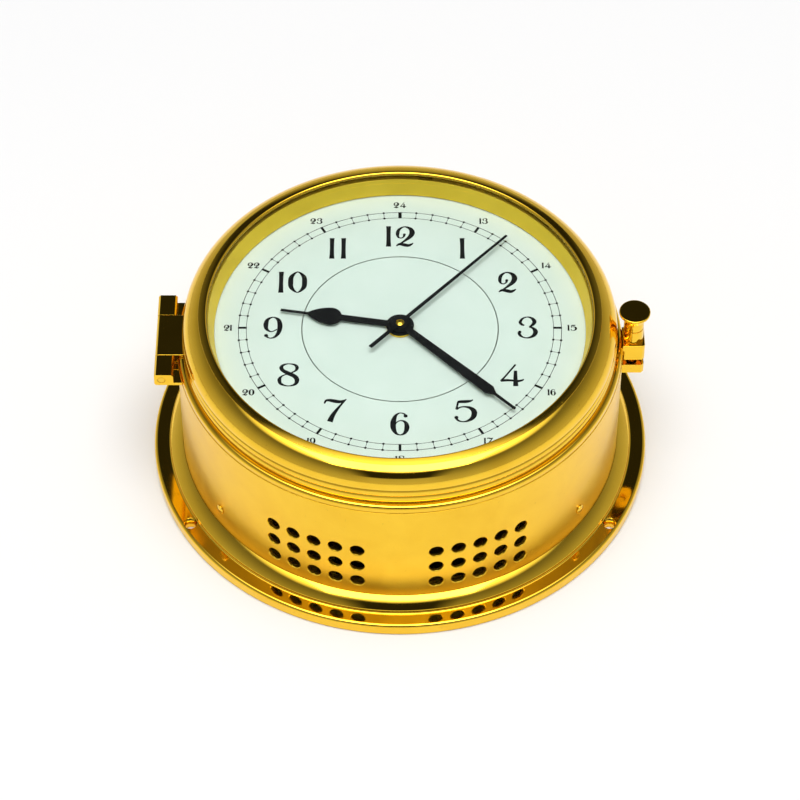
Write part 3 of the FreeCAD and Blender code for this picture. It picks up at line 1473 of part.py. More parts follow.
def minute_pipe():
    body = new_body("minute_pipe")
    seat = movement_floor + s.centre_level - s.centre_hub_height
    shoulder = movement_floor + s.centre_level + s.wheel_thickness + s.pivot_fit
    top = minute_hand_bottom + s.hand_thickness
    disc(body, s.pipe_seat_radius, seat, shoulder - seat, "seat")
    disc(body, s.minute_pipe_radius, shoulder, top - shoulder, "pipe")
    toothed(body, "pinion", s.pipe_pinion_teeth, minute_module, movement_split + s.pipe_pinion_level,
            s.pipe_pinion_height, s.minute_angle)
    drill(body, 0, 0, arbor_bore, top, top - seat, "bore")
    return body


def minute_wheel():
    body = new_body("minute_wheel", minute_x, minute_y)
    bottom = movement_split + s.minute_level
    mesh = s.minute_angle + HALF_TURN + HALF_TURN / s.minute_teeth
    toothed(body, "wheel", s.minute_teeth, minute_module, bottom, s.wheel_thickness, mesh)
    toothed(body, "pinion", s.minute_pinion_teeth, hour_module, bottom + s.wheel_thickness,
            s.minute_pinion_height, s.minute_angle + HALF_TURN)
    spindle(body, movement_split, movement_roof)
    return body


def hour_wheel():
    body = new_body("hour_wheel")
    bottom = movement_split + s.hour_level
    top = hour_hand_bottom + s.hand_thickness
    mesh = s.minute_angle + HALF_TURN / s.hour_teeth
    toothed(body, "wheel", s.hour_teeth, hour_module, bottom, s.wheel_thickness, mesh)
    disc(body, s.hour_pipe_radius, bottom, top - bottom, "pipe")
    drill(body, 0, 0, hour_pipe_bore, top, top - bottom, "bore")
    return body


def setting_shaft():
    body = new_body("setting_shaft", setting_x, setting_y)
    bottom = movement_back - s.setting_knob_gap - s.setting_knob_height
    pinion = movement_split + s.minute_level
    wheel_tooth = s.minute_angle + HALF_TURN + HALF_TURN / s.minute_teeth
    lead = (s.setting_angle - wheel_tooth) * s.minute_teeth / s.setting_teeth
    mesh = s.setting_angle + HALF_TURN + HALF_TURN / s.setting_teeth + lead
    disc(body, s.setting_shaft_radius, bottom, pinion - bottom, "shaft")
    toothed(body, "pinion", s.setting_teeth, minute_module, pinion, s.wheel_thickness, mesh)
    return body


def setting_knob():
    body = new_body("setting_knob", setting_x, setting_y)
    top = movement_back - s.setting_knob_gap
    bottom = top - s.setting_knob_height
    ring(body, s.setting_shaft_radius + s.press_gap, s.setting_knob_radius, bottom, top)
    grip = new_sketch(body, "grip", base=(0, 0, top))
    circle(grip, s.setting_knob_radius, 0, s.setting_grip_radius)
    repeat([pocket(grip, s.setting_knob_height)], grip, s.setting_grips)
    return body


# The hands point to twelve in their own frame and are then turned clockwise to the time shown.

def mirrored_outline(sketch, right_side):
    """Close an outline from its right side, bottom to top, and the same mirrored. A side's arc
    belongs to its upper end on the right, and so to its lower end on the left."""
    left_side = []
    following_arc = ()
    for corner in reversed(right_side):
        left_side.append((-corner[0], corner[1], *following_arc))
        following_arc = corner[2:]
    outline(sketch, right_side + left_side)


def hand(name, turn, bottom, thickness, hub, bore, right_side):
    body = new_body(name, turn=-turn)
    blade = new_sketch(body, "blade", base=(0, 0, bottom))
    mirrored_outline(blade, right_side)
    pad(blade, thickness)
    disc(body, hub, bottom, thickness, "hub")
    drill(body, 0, 0, bore, bottom + thickness, thickness, "bore")
    return body


def hour_hand():
    leaf_lower = s.hour_leaf_widest - s.hour_leaf_start
    leaf_upper = s.hour_leaf_end - s.hour_leaf_widest
    return hand(
        "hour_hand", s.hour_hand_turn, hour_hand_bottom, s.hand_thickness, s.hour_hand_hub,
        s.hour_pipe_radius + s.press_gap,
        [
            (s.hour_stem_half, 0),
            (s.hour_stem_half, s.hour_leaf_start),
            (s.hour_leaf_half, s.hour_leaf_widest, leaf_lower * 0.9),
            (s.needle_half, s.hour_leaf_end, leaf_upper * 2),
            (s.needle_half, s.hour_hand_length),
        ],
    )


def minute_hand():
    return hand(
        "minute_hand", s.minute_hand_turn, minute_hand_bottom, s.hand_thickness, s.minute_hand_hub,
        s.minute_pipe_radius + s.press_gap,
        [
            (s.minute_stem_half, 0),
            (s.minute_shoulder_half, s.minute_shoulder),
            (s.needle_half, s.minute_needle_start),
            (s.needle_half, s.minute_hand_length),
        ],
    )


def second_hand():
    return hand(
        "second_hand", s.second_hand_turn, second_hand_bottom, s.second_hand_thickness,
        s.second_hand_hub, s.seconds_arbor_radius + s.press_gap,
        [
            (s.second_tail_half, -s.second_hand_tail),
            (s.second_tail_half, 0),
            (s.second_tip_half, s.second_hand_length),
        ],
    )


def second_hand_cap():
    body = new_body("second_hand_cap")
    dome = swell_radius(2 * s.second_cap_radius, s.second_cap_height)
    top = second_hand_top + s.second_cap_height
    turned(body, [(0, second_hand_top), (s.second_cap_radius, second_hand_top), (0, top, dome)])
    return body


SUB_PARTS = [
    base_flange, rear_cover, rear_cover_screws, case_drum, drum_screws, rim_ring, dial_ring,
    dial_ring_screws, dial_plate, dial_screws, hinge_case_leaf, hinge_leaf_screws, hinge_pin,
    latch_case_lug, latch_lug_screws,
    bezel_ring, bezel_glass, glass_gasket, glass_retaining_ring, dust_seal, hinge_bezel_leaf,
    latch_bezel_lug, latch_stud, latch_knob,
    movement_rear_case, movement_middle_plate, movement_front_case, dial_washer, fixing_nut,
    battery, battery_contact_positive, battery_contact_negative,
    stator, coil_core, coil_bobbin, coil_winding, circuit_board, timing_chip, quartz_crystal,
    rotor_pinion, rotor_magnet, intermediate_wheel, seconds_wheel, third_wheel, centre_wheel,
    minute_pipe, minute_wheel, hour_wheel, setting_shaft, setting_knob,
    hour_hand, minute_hand, second_hand, second_hand_cap,
]

bodies = [make() for make in SUB_PARTS]
doc.recompute()

failed = [item.Name for item in doc.Objects if "Invalid" in item.State or "Error" in item.State]
if failed:
    raise RuntimeError(f"features that failed: {failed}")
for body in bodies:
    if body.Shape.isNull() or not body.Shape.isValid() or not body.Shape.Solids:
        raise RuntimeError(f"{body.Label} has no valid solid")

os.makedirs("parts", exist_ok=True)
for body in bodies:
    body.Shape.exportStep(os.path.join("parts", f"{body.Label}.step"))
print(len(bodies), "sub-parts written")
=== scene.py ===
"""Looks of the deck clock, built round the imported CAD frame. Lengths are millimetres until a mesh is made."""

import cmath
import math
import bmesh
import bpy
import numpy as np
from mathutils import Matrix, Vector
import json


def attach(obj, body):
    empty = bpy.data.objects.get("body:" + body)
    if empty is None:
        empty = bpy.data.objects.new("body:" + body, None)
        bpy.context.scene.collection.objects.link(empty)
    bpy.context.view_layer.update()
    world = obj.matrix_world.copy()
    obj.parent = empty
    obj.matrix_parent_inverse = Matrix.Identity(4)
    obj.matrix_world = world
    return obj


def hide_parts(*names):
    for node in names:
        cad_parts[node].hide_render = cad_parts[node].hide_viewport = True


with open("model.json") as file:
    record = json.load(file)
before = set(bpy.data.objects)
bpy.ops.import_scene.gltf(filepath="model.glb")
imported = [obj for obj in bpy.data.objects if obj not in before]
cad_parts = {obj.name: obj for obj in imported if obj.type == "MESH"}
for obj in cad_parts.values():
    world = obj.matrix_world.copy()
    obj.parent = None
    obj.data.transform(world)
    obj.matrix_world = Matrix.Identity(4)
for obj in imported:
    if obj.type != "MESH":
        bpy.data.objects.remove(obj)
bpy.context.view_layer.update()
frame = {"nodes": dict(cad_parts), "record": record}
MM = 0.001
TAU = 2 * math.pi

# ---------------------------------------------------------------- sizes, as in the CAD model
FLANGE_RADIUS, FLANGE_TOP, FLANGE_ROUND = 105.0, 5.0, 1.5
BORE_RADIUS, COVER_SEAT_RADIUS, COVER_FRONT = 72.0, 80.1, 1.3
MOUNT_RADIUS, MOUNT_HOLE, MOUNT_SINK, MOUNT_SINK_DEPTH = 101.2, 2.1, 2.9, 1.4
MOUNT_ANGLES = (90, 210, 330)
STEP_RADIUS, STEP_SIDE, STEP_HEIGHT, STEP_SWELL, STEP_FOOT = 98.0, 6.0, 10.0, 15.5, 0.7
STEP_EDGE_RADIUS, STEP_EDGE_HEIGHT, STEP_ROUND = 97.75, 6.6, 0.85
DRUM_RADIUS, DRUM_INNER, DRUM_SEAT, DRUM_TOP = 92.5, 91.0, 8.0, 62.0
SPIGOT_RADIUS, SPIGOT_INNER, SPIGOT_TOP, TAB_TOP, TAB_SPAN = 90.9, 88.4, 14.0, 27.0, 9.0
TAB_ANGLES = (-90 + 53.2, -90 - 53.2, 90 + 53.2, 90 - 53.2)
DRUM_SCREW_HEIGHT, DRUM_SCREW_HOLE, TAB_HOLE = 20.5, 1.6, 1.55
LEAF_SCREWS = ((190, 56.7), (170, 56.7))
LUG_SCREWS = ((2.5, 51.5), (-2.5, 51.5))
INNER_SCREW_HOLE = 0.9
VENT_RADIUS = 3.0
VENT_STARTS, VENT_SPACING, VENT_COLUMNS = ((-1, 10.8), (1, 9.15)), 5.74, 5
VENT_ANGLES = [-90 + side * (first + VENT_SPACING * column)
               for side, first in VENT_STARTS for column in range(VENT_COLUMNS)]
VENT_HEIGHTS = (36.8, 27.2, 17.6)
COVER_RADIUS, COVER_BACK, COVER_SCREW_CIRCLE = 80.0, 0.3, 76.0
COVER_SCREWS, COVER_SCREW_HOLE, COVER_SINK = 6, 1.55, 2.6
DIAL_TOP = 70.75
BEZEL_BOTTOM, BASE_TOP, BEZEL_TOP = 62.2, 65.3, 81.7
BEZEL_RADIUS, BEZEL_BORE, BEZEL_NECK, BEAD_HEIGHT = 92.3, 83.8, 89.3, 3.4
SHOULDER_RADIUS, LIP_RADIUS, SIGHT_RADIUS = 89.7, 83.0, 79.4
SEAL_INNER, SEAL_OUTER, SEAL_TOP = 86.6, 88.8, 63.2
GLASS_RADIUS, RETAINER_BOTTOM = 81.8, 71.2
GLASS_BOTTOM, GLASS_TOP, LIP_UNDERSIDE, GLASS_SEAT = 78.4, 80.2, 80.6, 82.0
LATCH_X, KNOB_FOOT, STUD_RADIUS = 96.6, 65.45, 1.5
STUD_TIP_BOTTOM, STUD_TIP_TOP, STUD_TOP, THREAD_PITCH = 50.4, 53.3, 76.0, 0.8


# ---------------------------------------------------------------- turned profiles
def side_path(start, end, radius):
    """Length of a side, and its point and direction at a share of it. A positive radius bulges outwards."""
    chord = end - start
    way = chord / abs(chord)
    if not radius:
        return abs(chord), lambda share: (start + chord * share, way)
    sign = 1 if radius > 0 else -1
    size = abs(radius)
    half = math.asin(min(1.0, abs(chord) / 2 / size))
    centre = (start + end) / 2 + sign * 1j * way * size * math.cos(half)

    def at(share):
        spoke = -1j * sign * way * cmath.exp(1j * sign * half * (2 * share - 1))
        return centre + size * spoke, spoke * 1j * sign

    return 2 * half * size, at


def profile(corners, fillet=0.15, closed=True):
    """Points and outward normals (complex r + iz) along corners.

    A corner is (r, z, radius of the side that ends there, fillet)."""
    count = len(corners)
    spots = [complex(c[0], c[1]) for c in corners]
    radii = [c[2] if len(c) > 2 else 0 for c in corners]
    fillets = [c[3] if len(c) > 3 else fillet for c in corners]
    first = 0 if closed else 1
    sides = {k: side_path(spots[k - 1], spots[k], radii[k]) for k in range(first, count)}
    cuts = {}
    for k in range(count):
        following = (k + 1) % count
        cuts[k] = 0.0
        if k in sides and following in sides and following != k:
            turn = abs(cmath.phase(sides[following][1](0)[1] / sides[k][1](1)[1]))
            if turn > 0.2 and fillets[k] > 0:
                cuts[k] = min(fillets[k], 0.45 * sides[k][0], 0.45 * sides[following][0])
    line = []
    for k in range(first, count):
        length, at = sides[k]
        begin, finish = cuts[(k - 1) % count] / length, 1 - cuts[k] / length
        bend = abs(cmath.phase(at(1)[1] / at(0)[1]))
        steps = max(1, math.ceil(bend / math.radians(6)))
        for i in range(steps + 1):
            point, way = at(begin + (finish - begin) * i / steps)
            line.append((point, -1j * way))
        if cuts[k]:
            following = (k + 1) % count
            next_length, next_at = sides[following]
            a, way_a = at(finish)
            b, way_b = next_at(cuts[k] / next_length)
            cross = (way_a.conjugate() * way_b).imag
            reach = ((way_b.conjugate() * (b - a)).imag) / cross if abs(cross) > 1e-6 else abs(b - a) / 2
            control = a + way_a * abs(reach)
            for i in range(1, 5):
                u = i / 5
                point = (1 - u) ** 2 * a + 2 * u * (1 - u) * control + u * u * b
                way = (1 - u) * (control - a) + u * (b - control)
                line.append((point, -1j * way / abs(way)))
    tidy = []
    for point, normal in line:
        if tidy and abs(point - tidy[-1][0]) < 1e-5:
            continue
        tidy.append((point, normal))
    if closed and abs(tidy[0][0] - tidy[-1][0]) < 1e-5:
        tidy.pop()
    return tidy


def new_object(name, mesh):
    piece = bpy.data.objects.new(name, mesh)
    bpy.context.scene.collection.objects.link(piece)
    return piece


def mesh_from(name, points, faces, normals=None):
    mesh = bpy.data.meshes.new(name)
    mesh.from_pydata([tuple(p * MM for p in point) for point in points], [], faces)
    mesh.validate()
    for polygon in mesh.polygons:
        polygon.use_smooth = True
    if normals is not None:
        mesh.normals_split_custom_set_from_vertices([tuple(n) for n in normals])
    mesh.update()
    return new_object(name, mesh)


def lathe(name, line, segments=384, closed=True, place=None, span=None):
    """A turned solid from a profile. Points on the axis become poles. span, in degrees, makes a sector."""
    place = place or Matrix.Identity(4)
    turn = place.to_3x3()
    start, sweep = (0.0, TAU) if span is None else (math.radians(span[0]), math.radians(span[1] - span[0]))
    columns = segments if span is None else segments + 1
    points, normals, rows = [], [], []
    for point, normal in line:
        row = []
        on_axis = point.real < 1e-6
        for i in range(1 if on_axis else columns):
            angle = start + sweep * i / segments
            c, s = math.cos(angle), math.sin(angle)
            row.append(len(points))
            points.append(place @ Vector((point.real * c, point.real * s, point.imag)))
            n = Vector((normal.real * c, normal.real * s, normal.imag))
            if on_axis:
                n = Vector((0, 0, math.copysign(1, normal.imag)))
            normals.append(turn @ n)
        rows.append(row)
    faces = []
    pairs = zip(rows, rows[1:] + rows[:1]) if closed else zip(rows, rows[1:])
    for low, high in pairs:
        for i in range(segments):
            j = (i + 1) % segments if span is None else i + 1
            if len(low) == 1 and len(high) == 1:
                continue
            if len(low) == 1:
                faces.append((low[0], high[j], high[i]))
            elif len(high) == 1:
                faces.append((low[i], low[j], high[0]))
            else:
                faces.append((low[i], low[j], high[j], high[i]))
    if span is not None:
        faces.append(tuple(row[0] for row in rows))
        faces.append(tuple(row[-1] for row in reversed(rows)))
        return mesh_from(name, points, faces)
    return mesh_from(name, points, faces, normals)


def evaluated(piece):
    """Apply a piece's modifiers."""
    graph = bpy.context.evaluated_depsgraph_get()
    mesh = bpy.data.meshes.new_from_object(piece.evaluated_get(graph))
    old = piece.data
    piece.modifiers.clear()
    piece.data = mesh
    bpy.data.meshes.remove(old)
    return piece


def joined(name, pieces):
    """One object from several."""
    body = bmesh.new()
    for piece in pieces:
        body.from_mesh(piece.data)
        mesh = piece.data
        bpy.data.objects.remove(piece)
        bpy.data.meshes.remove(mesh)
    mesh = bpy.data.meshes.new(name)
    body.to_mesh(mesh)
    body.free()
    for polygon in mesh.polygons:
        polygon.use_smooth = True
    return new_object(name, mesh)


def carve(piece, cutters, operation="DIFFERENCE"):
    """Cut solids out of a piece, or weld them to it."""
    tool = joined("tool", cutters)
    modifier = piece.modifiers.new("carve", "BOOLEAN")
    modifier.operation = operation
    modifier.solver = "EXACT"
    modifier.object = tool
    evaluated(piece)
    mesh = tool.data
    bpy.data.objects.remove(tool)
    bpy.data.meshes.remove(mesh)
    return piece


def turned_normals(piece, line, limit=0.86):
    """Exact shading for the turned surfaces of a carved piece. Other surfaces are smooth up to 35 degrees."""
    mesh = piece.data
    mesh.set_sharp_from_angle(angle=math.radians(35))
    count = len(mesh.loops)
    corner_normals = np.zeros(count * 3, np.float32)
    mesh.corner_normals.foreach_get("vector", corner_normals)
    corner_normals = corner_normals.reshape(-1, 3)
    where = np.zeros(len(mesh.vertices) * 3, np.float32)
    mesh.vertices.foreach_get("co", where)
    where = where.reshape(-1, 3) / MM
    vertex_of = np.zeros(count, np.int32)
    mesh.loops.foreach_get("vertex_index", vertex_of)
    face_normals = np.zeros(len(mesh.polygons) * 3, np.float32)
    mesh.polygons.foreach_get("normal", face_normals)
    totals = np.zeros(len(mesh.polygons), np.int32)
    mesh.polygons.foreach_get("loop_total", totals)
    face_of = np.repeat(np.arange(len(totals)), totals)
    radius = np.hypot(where[:, 0], where[:, 1])
    place = radius + 1j * where[:, 2]
    spots = np.array([p for p, _ in line])
    facing = np.array([n for _, n in line])
    nearest = np.full(len(where), 1e9)
    normal = np.zeros(len(where), complex)
    for k in range(len(line)):
        a, b = spots[k - 1], spots[k]
        along = b - a
        share = np.clip(((place - a) * np.conj(along)).real / max(abs(along) ** 2, 1e-12), 0, 1)
        away = np.abs(place - (a + along * share))
        closer = away < nearest
        nearest[closer] = away[closer]
        blend = facing[k - 1] * (1 - share) + facing[k] * share
        normal[closer] = blend[closer]
    normal /= np.maximum(np.abs(normal), 1e-9)
    unit = where[:, :2] / np.maximum(radius, 1e-6)[:, None]
    exact = np.column_stack([unit[:, 0] * normal.real, unit[:, 1] * normal.real, normal.imag])[vertex_of]
    near = (nearest < 0.02)[vertex_of]
    agrees = (exact * face_normals.reshape(-1, 3)[face_of]).sum(axis=1) > limit
    chosen = np.where((near & agrees)[:, None], exact, corner_normals)
    mesh.normals_split_custom_set(chosen.tolist())
    return piece


def tool_matrix(angle, height, radius=0.0):
    """Places a tool drawn about Z so that its axis runs outwards through a wall at that angle and height."""
    outwards = Matrix.Rotation(math.radians(angle), 4, "Z")
    return outwards @ Matrix.Translation((radius, 0, height)) @ Matrix.Rotation(math.radians(90), 4, "Y")


def drill_tool(angle, height, radius, inner, outer, rim=0.0, surface=0.0):
    """A drill through a wall, which flares by rim at the outer surface."""
    corners = [(0, inner), (radius, inner)]
    if rim:
        corners += [(radius, surface - rim), (radius + rim * 0.25, surface - rim * 0.45)]
        corners += [(radius + rim, surface), (radius + rim, outer)]
    else:
        corners += [(radius, outer)]
    corners += [(0, outer)]
    line = profile(corners, fillet=0, closed=False)
    return lathe("drill", line, 40, closed=False, place=tool_matrix(angle, height))


def dressed(name, node, width=0.2, angle=30, segments=3):
    """A copy of a CAD node with its edges broken, as polishing leaves them."""
    mesh = frame["nodes"][node].data.copy()
    mesh.name = name
    mesh.materials.clear()
    if "custom_normal" in mesh.attributes:
        mesh.attributes.remove(mesh.attributes["custom_normal"])
    body = bmesh.new()
    body.from_mesh(mesh)
    bmesh.ops.remove_doubles(body, verts=body.verts, dist=2e-6)
    bmesh.ops.dissolve_limit(body, angle_limit=math.radians(0.5), verts=body.verts, edges=body.edges)
    body.to_mesh(mesh)
    body.free()
    for polygon in mesh.polygons:
        polygon.use_smooth = True
        polygon.material_index = 0
    piece = new_object(name, mesh)
    if width:
        bevel = piece.modifiers.new("edges", "BEVEL")
        bevel.width = width * MM
        bevel.segments = segments
        bevel.limit_method = "ANGLE"
        bevel.angle_limit = math.radians(angle)
        bevel.use_clamp_overlap = True
        bevel.miter_outer = "MITER_ARC"
        evaluated(piece)
    piece.data.set_sharp_from_angle(angle=math.radians(35))
    weighted = piece.modifiers.new("shade", "WEIGHTED_NORMAL")
    weighted.keep_sharp = True
    evaluated(piece)
    return piece


# ---------------------------------------------------------------- materials
class Finish:
    """A procedural material on a Principled shader."""

    def __init__(self, name, **sockets):
        self.material = bpy.data.materials.new(name)
        self.material.use_nodes = True
        self.tree = self.material.node_tree
        self.shader = self.tree.nodes["Principled BSDF"]
        for socket, value in sockets.items():
            self.shader.inputs[socket.replace("_", " ")].default_value = value
        self.place = self.add("ShaderNodeTexCoord").outputs["Object"]

    def add(self, kind, **settings):
        node = self.tree.nodes.new(kind)
        for key, value in settings.items():
            setattr(node, key, value)
        return node

    def join(self, source, target):
        self.tree.links.new(source, self.shader.inputs[target] if isinstance(target, str) else target)

    def maths(self, operation, first, second=0.0):
        node = self.add("ShaderNodeMath", operation=operation)
        for socket, value in zip(node.inputs, (first, second)):
            if isinstance(value, (int, float)):
                socket.default_value = value
            else:
                self.join(value, socket)
        return node.outputs[0]

    def noise(self, scale, detail=3.0, roughness=0.55, place=None, distortion=0.0):
        node = self.add("ShaderNodeTexNoise")
        node.inputs["Scale"].default_value = scale
        node.inputs["Detail"].default_value = detail
        node.inputs["Roughness"].default_value = roughness
        node.inputs["Distortion"].default_value = distortion
        self.join(place or self.place, node.inputs["Vector"])
        return node.outputs["Fac"]

    def turning(self, lines, sweep=0.6):
        """Noise stretched round the Z axis, as a lathe tool leaves it. lines is how many per metre."""
        split = self.add("ShaderNodeSeparateXYZ")
        self.join(self.place, split.inputs[0])
        x, y, z = split.outputs
        squares = self.maths("ADD", self.maths("MULTIPLY", x, x), self.maths("MULTIPLY", y, y))
        radius = self.maths("SQRT", squares)
        round_x = self.maths("MULTIPLY", self.maths("DIVIDE", x, radius), sweep)
        round_y = self.maths("MULTIPLY", self.maths("DIVIDE", y, radius), sweep)
        where = self.add("ShaderNodeCombineXYZ")
        for source, socket in zip((round_x, round_y, self.maths("MULTIPLY", radius, lines)), where.inputs):
            self.join(source, socket)
        node = self.add("ShaderNodeTexNoise", noise_dimensions="4D")
        node.inputs["Scale"].default_value = 1.0
        node.inputs["Detail"].default_value = 2.0
        self.join(where.outputs[0], node.inputs["Vector"])
        self.join(self.maths("MULTIPLY", z, lines), node.inputs["W"])
        return node.outputs["Fac"]

    def spread(self, value, low, high, from_low=0.3, from_high=0.7):
        node = self.add("ShaderNodeMapRange")
        for socket, number in zip(node.inputs[1:5], (from_low, from_high, low, high)):
            socket.default_value = number
        self.join(value, node.inputs[0])
        return node.outputs[0]

    def blend(self, factor, first, second):
        node = self.add("ShaderNodeMix", data_type="RGBA")
        self.join(factor, node.inputs[0])
        for socket, colour in zip(node.inputs[6:8], (first, second)):
            if isinstance(colour, tuple):
                socket.default_value = (*colour, 1)
            else:
                self.join(colour, socket)
        return node.outputs[2]

    def bump(self, height, distance, strength=1.0, under=None):
        node = self.add("ShaderNodeBump")
        node.inputs["Strength"].default_value = strength
        node.inputs["Distance"].default_value = distance
        self.join(height, node.inputs["Height"])
        if under is not None:
            self.join(under, node.inputs["Normal"])
        return node.outputs[0]


def brass(name, colour, deep, rough, smear, coat, line_depth, grain_depth):
    """Brass with smudges, faint turned lines, fine scratches and small tarnish spots."""
    f = Finish(name, Metallic=1.0, Coat_Weight=coat, Coat_Roughness=0.04, Coat_IOR=1.5)
    smudges = f.noise(38.0, 5.0, 0.6, distortion=0.4)
    wipe = f.noise(160.0, 4.0, 0.6)
    lines = f.turning(3200.0)
    spots = f.spread(f.noise(620.0, 2.0, 0.5), 0.0, 1.0, 0.70, 0.78)
    tint = f.blend(f.spread(smudges, 0.0, 1.0), deep, colour)
    f.join(f.blend(f.maths("MULTIPLY", spots, 0.25), tint, tuple(c * 0.45 for c in deep)), "Base Color")
    gloss = f.maths("ADD", f.spread(smudges, rough, rough + smear), f.spread(wipe, 0.0, smear * 0.4))
    gloss = f.maths("ADD", gloss, f.maths("MULTIPLY", spots, 0.12))
    f.join(f.maths("ADD", gloss, f.maths("MULTIPLY", lines, smear * 0.3)), "Roughness")
    grain = f.bump(f.noise(1500.0, 3.0), grain_depth * MM)
    f.join(f.bump(lines, line_depth * MM, under=grain), "Normal")
    return f.material


def moulded(name, colour, deep, rough, grain=0.02, scale=1400.0, **sockets):
    """Plastic, rubber, paint or enamel: a slightly uneven colour, an uneven gloss and a fine grain."""
    f = Finish(name, **sockets)
    patches = f.noise(90.0, 4.0)
    fine = f.noise(scale, 3.0)
    f.join(f.blend(f.spread(patches, 0.0, 1.0), deep, colour), "Base Color")
    gloss = f.spread(patches, rough - 0.04, rough + 0.05)
    f.join(f.maths("ADD", gloss, f.spread(fine, -0.02, 0.03)), "Roughness")
    f.join(f.bump(fine, grain * MM), "Normal")
    return f.material


def window_material():
    """Thin clear glass: it lets light straight through and mirrors a little, more at a low angle."""
    f = Finish("window_glass_clear")
    f.tree.nodes.remove(f.shader)
    clear = f.add("ShaderNodeBsdfTransparent")
    clear.inputs["Color"].default_value = (0.975, 0.99, 0.98, 1)
    mirror = f.add("ShaderNodeBsdfGlossy")
    mirror.inputs["Color"].default_value = (1, 1, 1, 1)
    haze = f.spread(f.noise(60.0, 4.0), 0.0, 0.03)
    f.tree.links.new(haze, mirror.inputs["Roughness"])
    share = f.add("ShaderNodeFresnel")
    share.inputs["IOR"].default_value = 1.25
    mix = f.add("ShaderNodeMixShader")
    for source, socket in zip((share.outputs[0], clear.outputs[0], mirror.outputs[0]), mix.inputs):
        f.tree.links.new(source, socket)
    output = next(node for node in f.tree.nodes if node.type == "OUTPUT_MATERIAL")
    f.tree.links.new(mix.outputs[0], output.inputs["Surface"])
    return f.material


def felt_material():
    f = Finish("felt_strip", Sheen_Weight=0.6, Sheen_Roughness=0.5)
    fibres = f.noise(5200.0, 6.0, 0.75, distortion=2.0)
    f.join(f.blend(fibres, (0.012, 0.012, 0.014), (0.06, 0.06, 0.065)), "Base Color")
    f.join(f.spread(fibres, 0.85, 1.0), "Roughness")
    f.join(f.bump(fibres, 0.12 * MM), "Normal")
    return f.material


def winding_material():
    """Fine enamelled wire: ridges along the length of the coil."""
    f = Finish("enamelled_wire", Metallic=1.0, Coat_Weight=0.6, Coat_Roughness=0.15)
    wave = f.add("ShaderNodeTexWave", bands_direction="X")
    wave.inputs["Scale"].default_value = 2600.0
    wave.inputs["Distortion"].default_value = 0.6
    f.join(f.place, wave.inputs["Vector"])
    f.join(f.blend(wave.outputs["Fac"], (0.35, 0.09, 0.03), (0.85, 0.34, 0.16)), "Base Color")
    f.join(f.spread(f.noise(400.0), 0.25, 0.45), "Roughness")
    f.join(f.bump(wave.outputs["Fac"], 0.06 * MM), "Normal")
    return f.material


def board_material():
    f = Finish("green_board", Specular_IOR_Level=0.4)
    weave = f.add("ShaderNodeTexVoronoi")
    weave.inputs["Scale"].default_value = 900.0
    f.join(f.place, weave.inputs["Vector"])
    f.join(f.blend(weave.outputs["Distance"], (0.01, 0.10, 0.035), (0.03, 0.22, 0.08)), "Base Color")
    f.join(f.spread(f.noise(500.0), 0.28, 0.42), "Roughness")
    f.join(f.bump(weave.outputs["Distance"], 0.01 * MM), "Normal")
    return f.material


POLISHED = brass("brass_polished", (0.96, 0.61, 0.045), (0.90, 0.54, 0.030),
                 0.045, 0.03, 0.12, 0.0006, 0.0006)
BRUSHED = brass("brass_brushed", (0.96, 0.62, 0.045), (0.88, 0.53, 0.030), 0.27, 0.06, 0.05, 0.0010, 0.0010)
WALL = brass("brass_wall", (0.95, 0.68, 0.075), (0.88, 0.61, 0.055), 0.44, 0.05, 0.0, 0.002, 0.002)
SATIN = brass("brass_satin", (0.92, 0.61, 0.07), (0.80, 0.49, 0.05), 0.24, 0.08, 0.10, 0.004, 0.002)
SCREW = brass("brass_screw", (0.95, 0.62, 0.06), (0.84, 0.51, 0.04), 0.12, 0.06, 0.2, 0.001, 0.001)
ENAMEL = moulded("dial_enamel_white", (0.76, 0.85, 0.80), (0.72, 0.82, 0.765), 0.46, 0.006,
                 Specular_IOR_Level=0.30)
BLACK = moulded("hand_black_lacquer", (0.006, 0.006, 0.007), (0.003, 0.003, 0.004), 0.52, 0.01,
                Specular_IOR_Level=0.15)
INK = moulded("printed_black", (0.006, 0.006, 0.007), (0.003, 0.003, 0.004), 0.6, 0.004,
              Specular_IOR_Level=0.15)
FAINT_INK = moulded("printed_grey", (0.58, 0.66, 0.61), (0.53, 0.61, 0.56), 0.5, 0.004)
RUBBER = moulded("rubber_black", (0.020, 0.020, 0.021), (0.012, 0.012, 0.012), 0.66, 0.03)
MOVEMENT = moulded("plastic_black", (0.022, 0.023, 0.025), (0.014, 0.014, 0.016), 0.40, 0.03, 900.0)
PLATE = moulded("plastic_ivory", (0.62, 0.58, 0.46), (0.52, 0.48, 0.38), 0.45, 0.02)
GEAR = moulded("plastic_white", (0.78, 0.77, 0.72), (0.70, 0.69, 0.64), 0.38, 0.01, Subsurface_Weight=0.05)
BATTERY = moulded("battery_sleeve", (0.045, 0.05, 0.06), (0.03, 0.03, 0.04), 0.25, 0.004, Coat_Weight=0.5)
STEEL = moulded("steel_nickel", (0.62, 0.61, 0.58), (0.50, 0.49, 0.46), 0.24, 0.003, Metallic=1.0)
MAGNET = moulded("magnet_grey", (0.10, 0.10, 0.105), (0.06, 0.06, 0.065), 0.38, 0.02, Metallic=0.8)
RESIN = moulded("resin_black", (0.012, 0.012, 0.014), (0.006, 0.006, 0.008), 0.16, 0.05, 300.0)
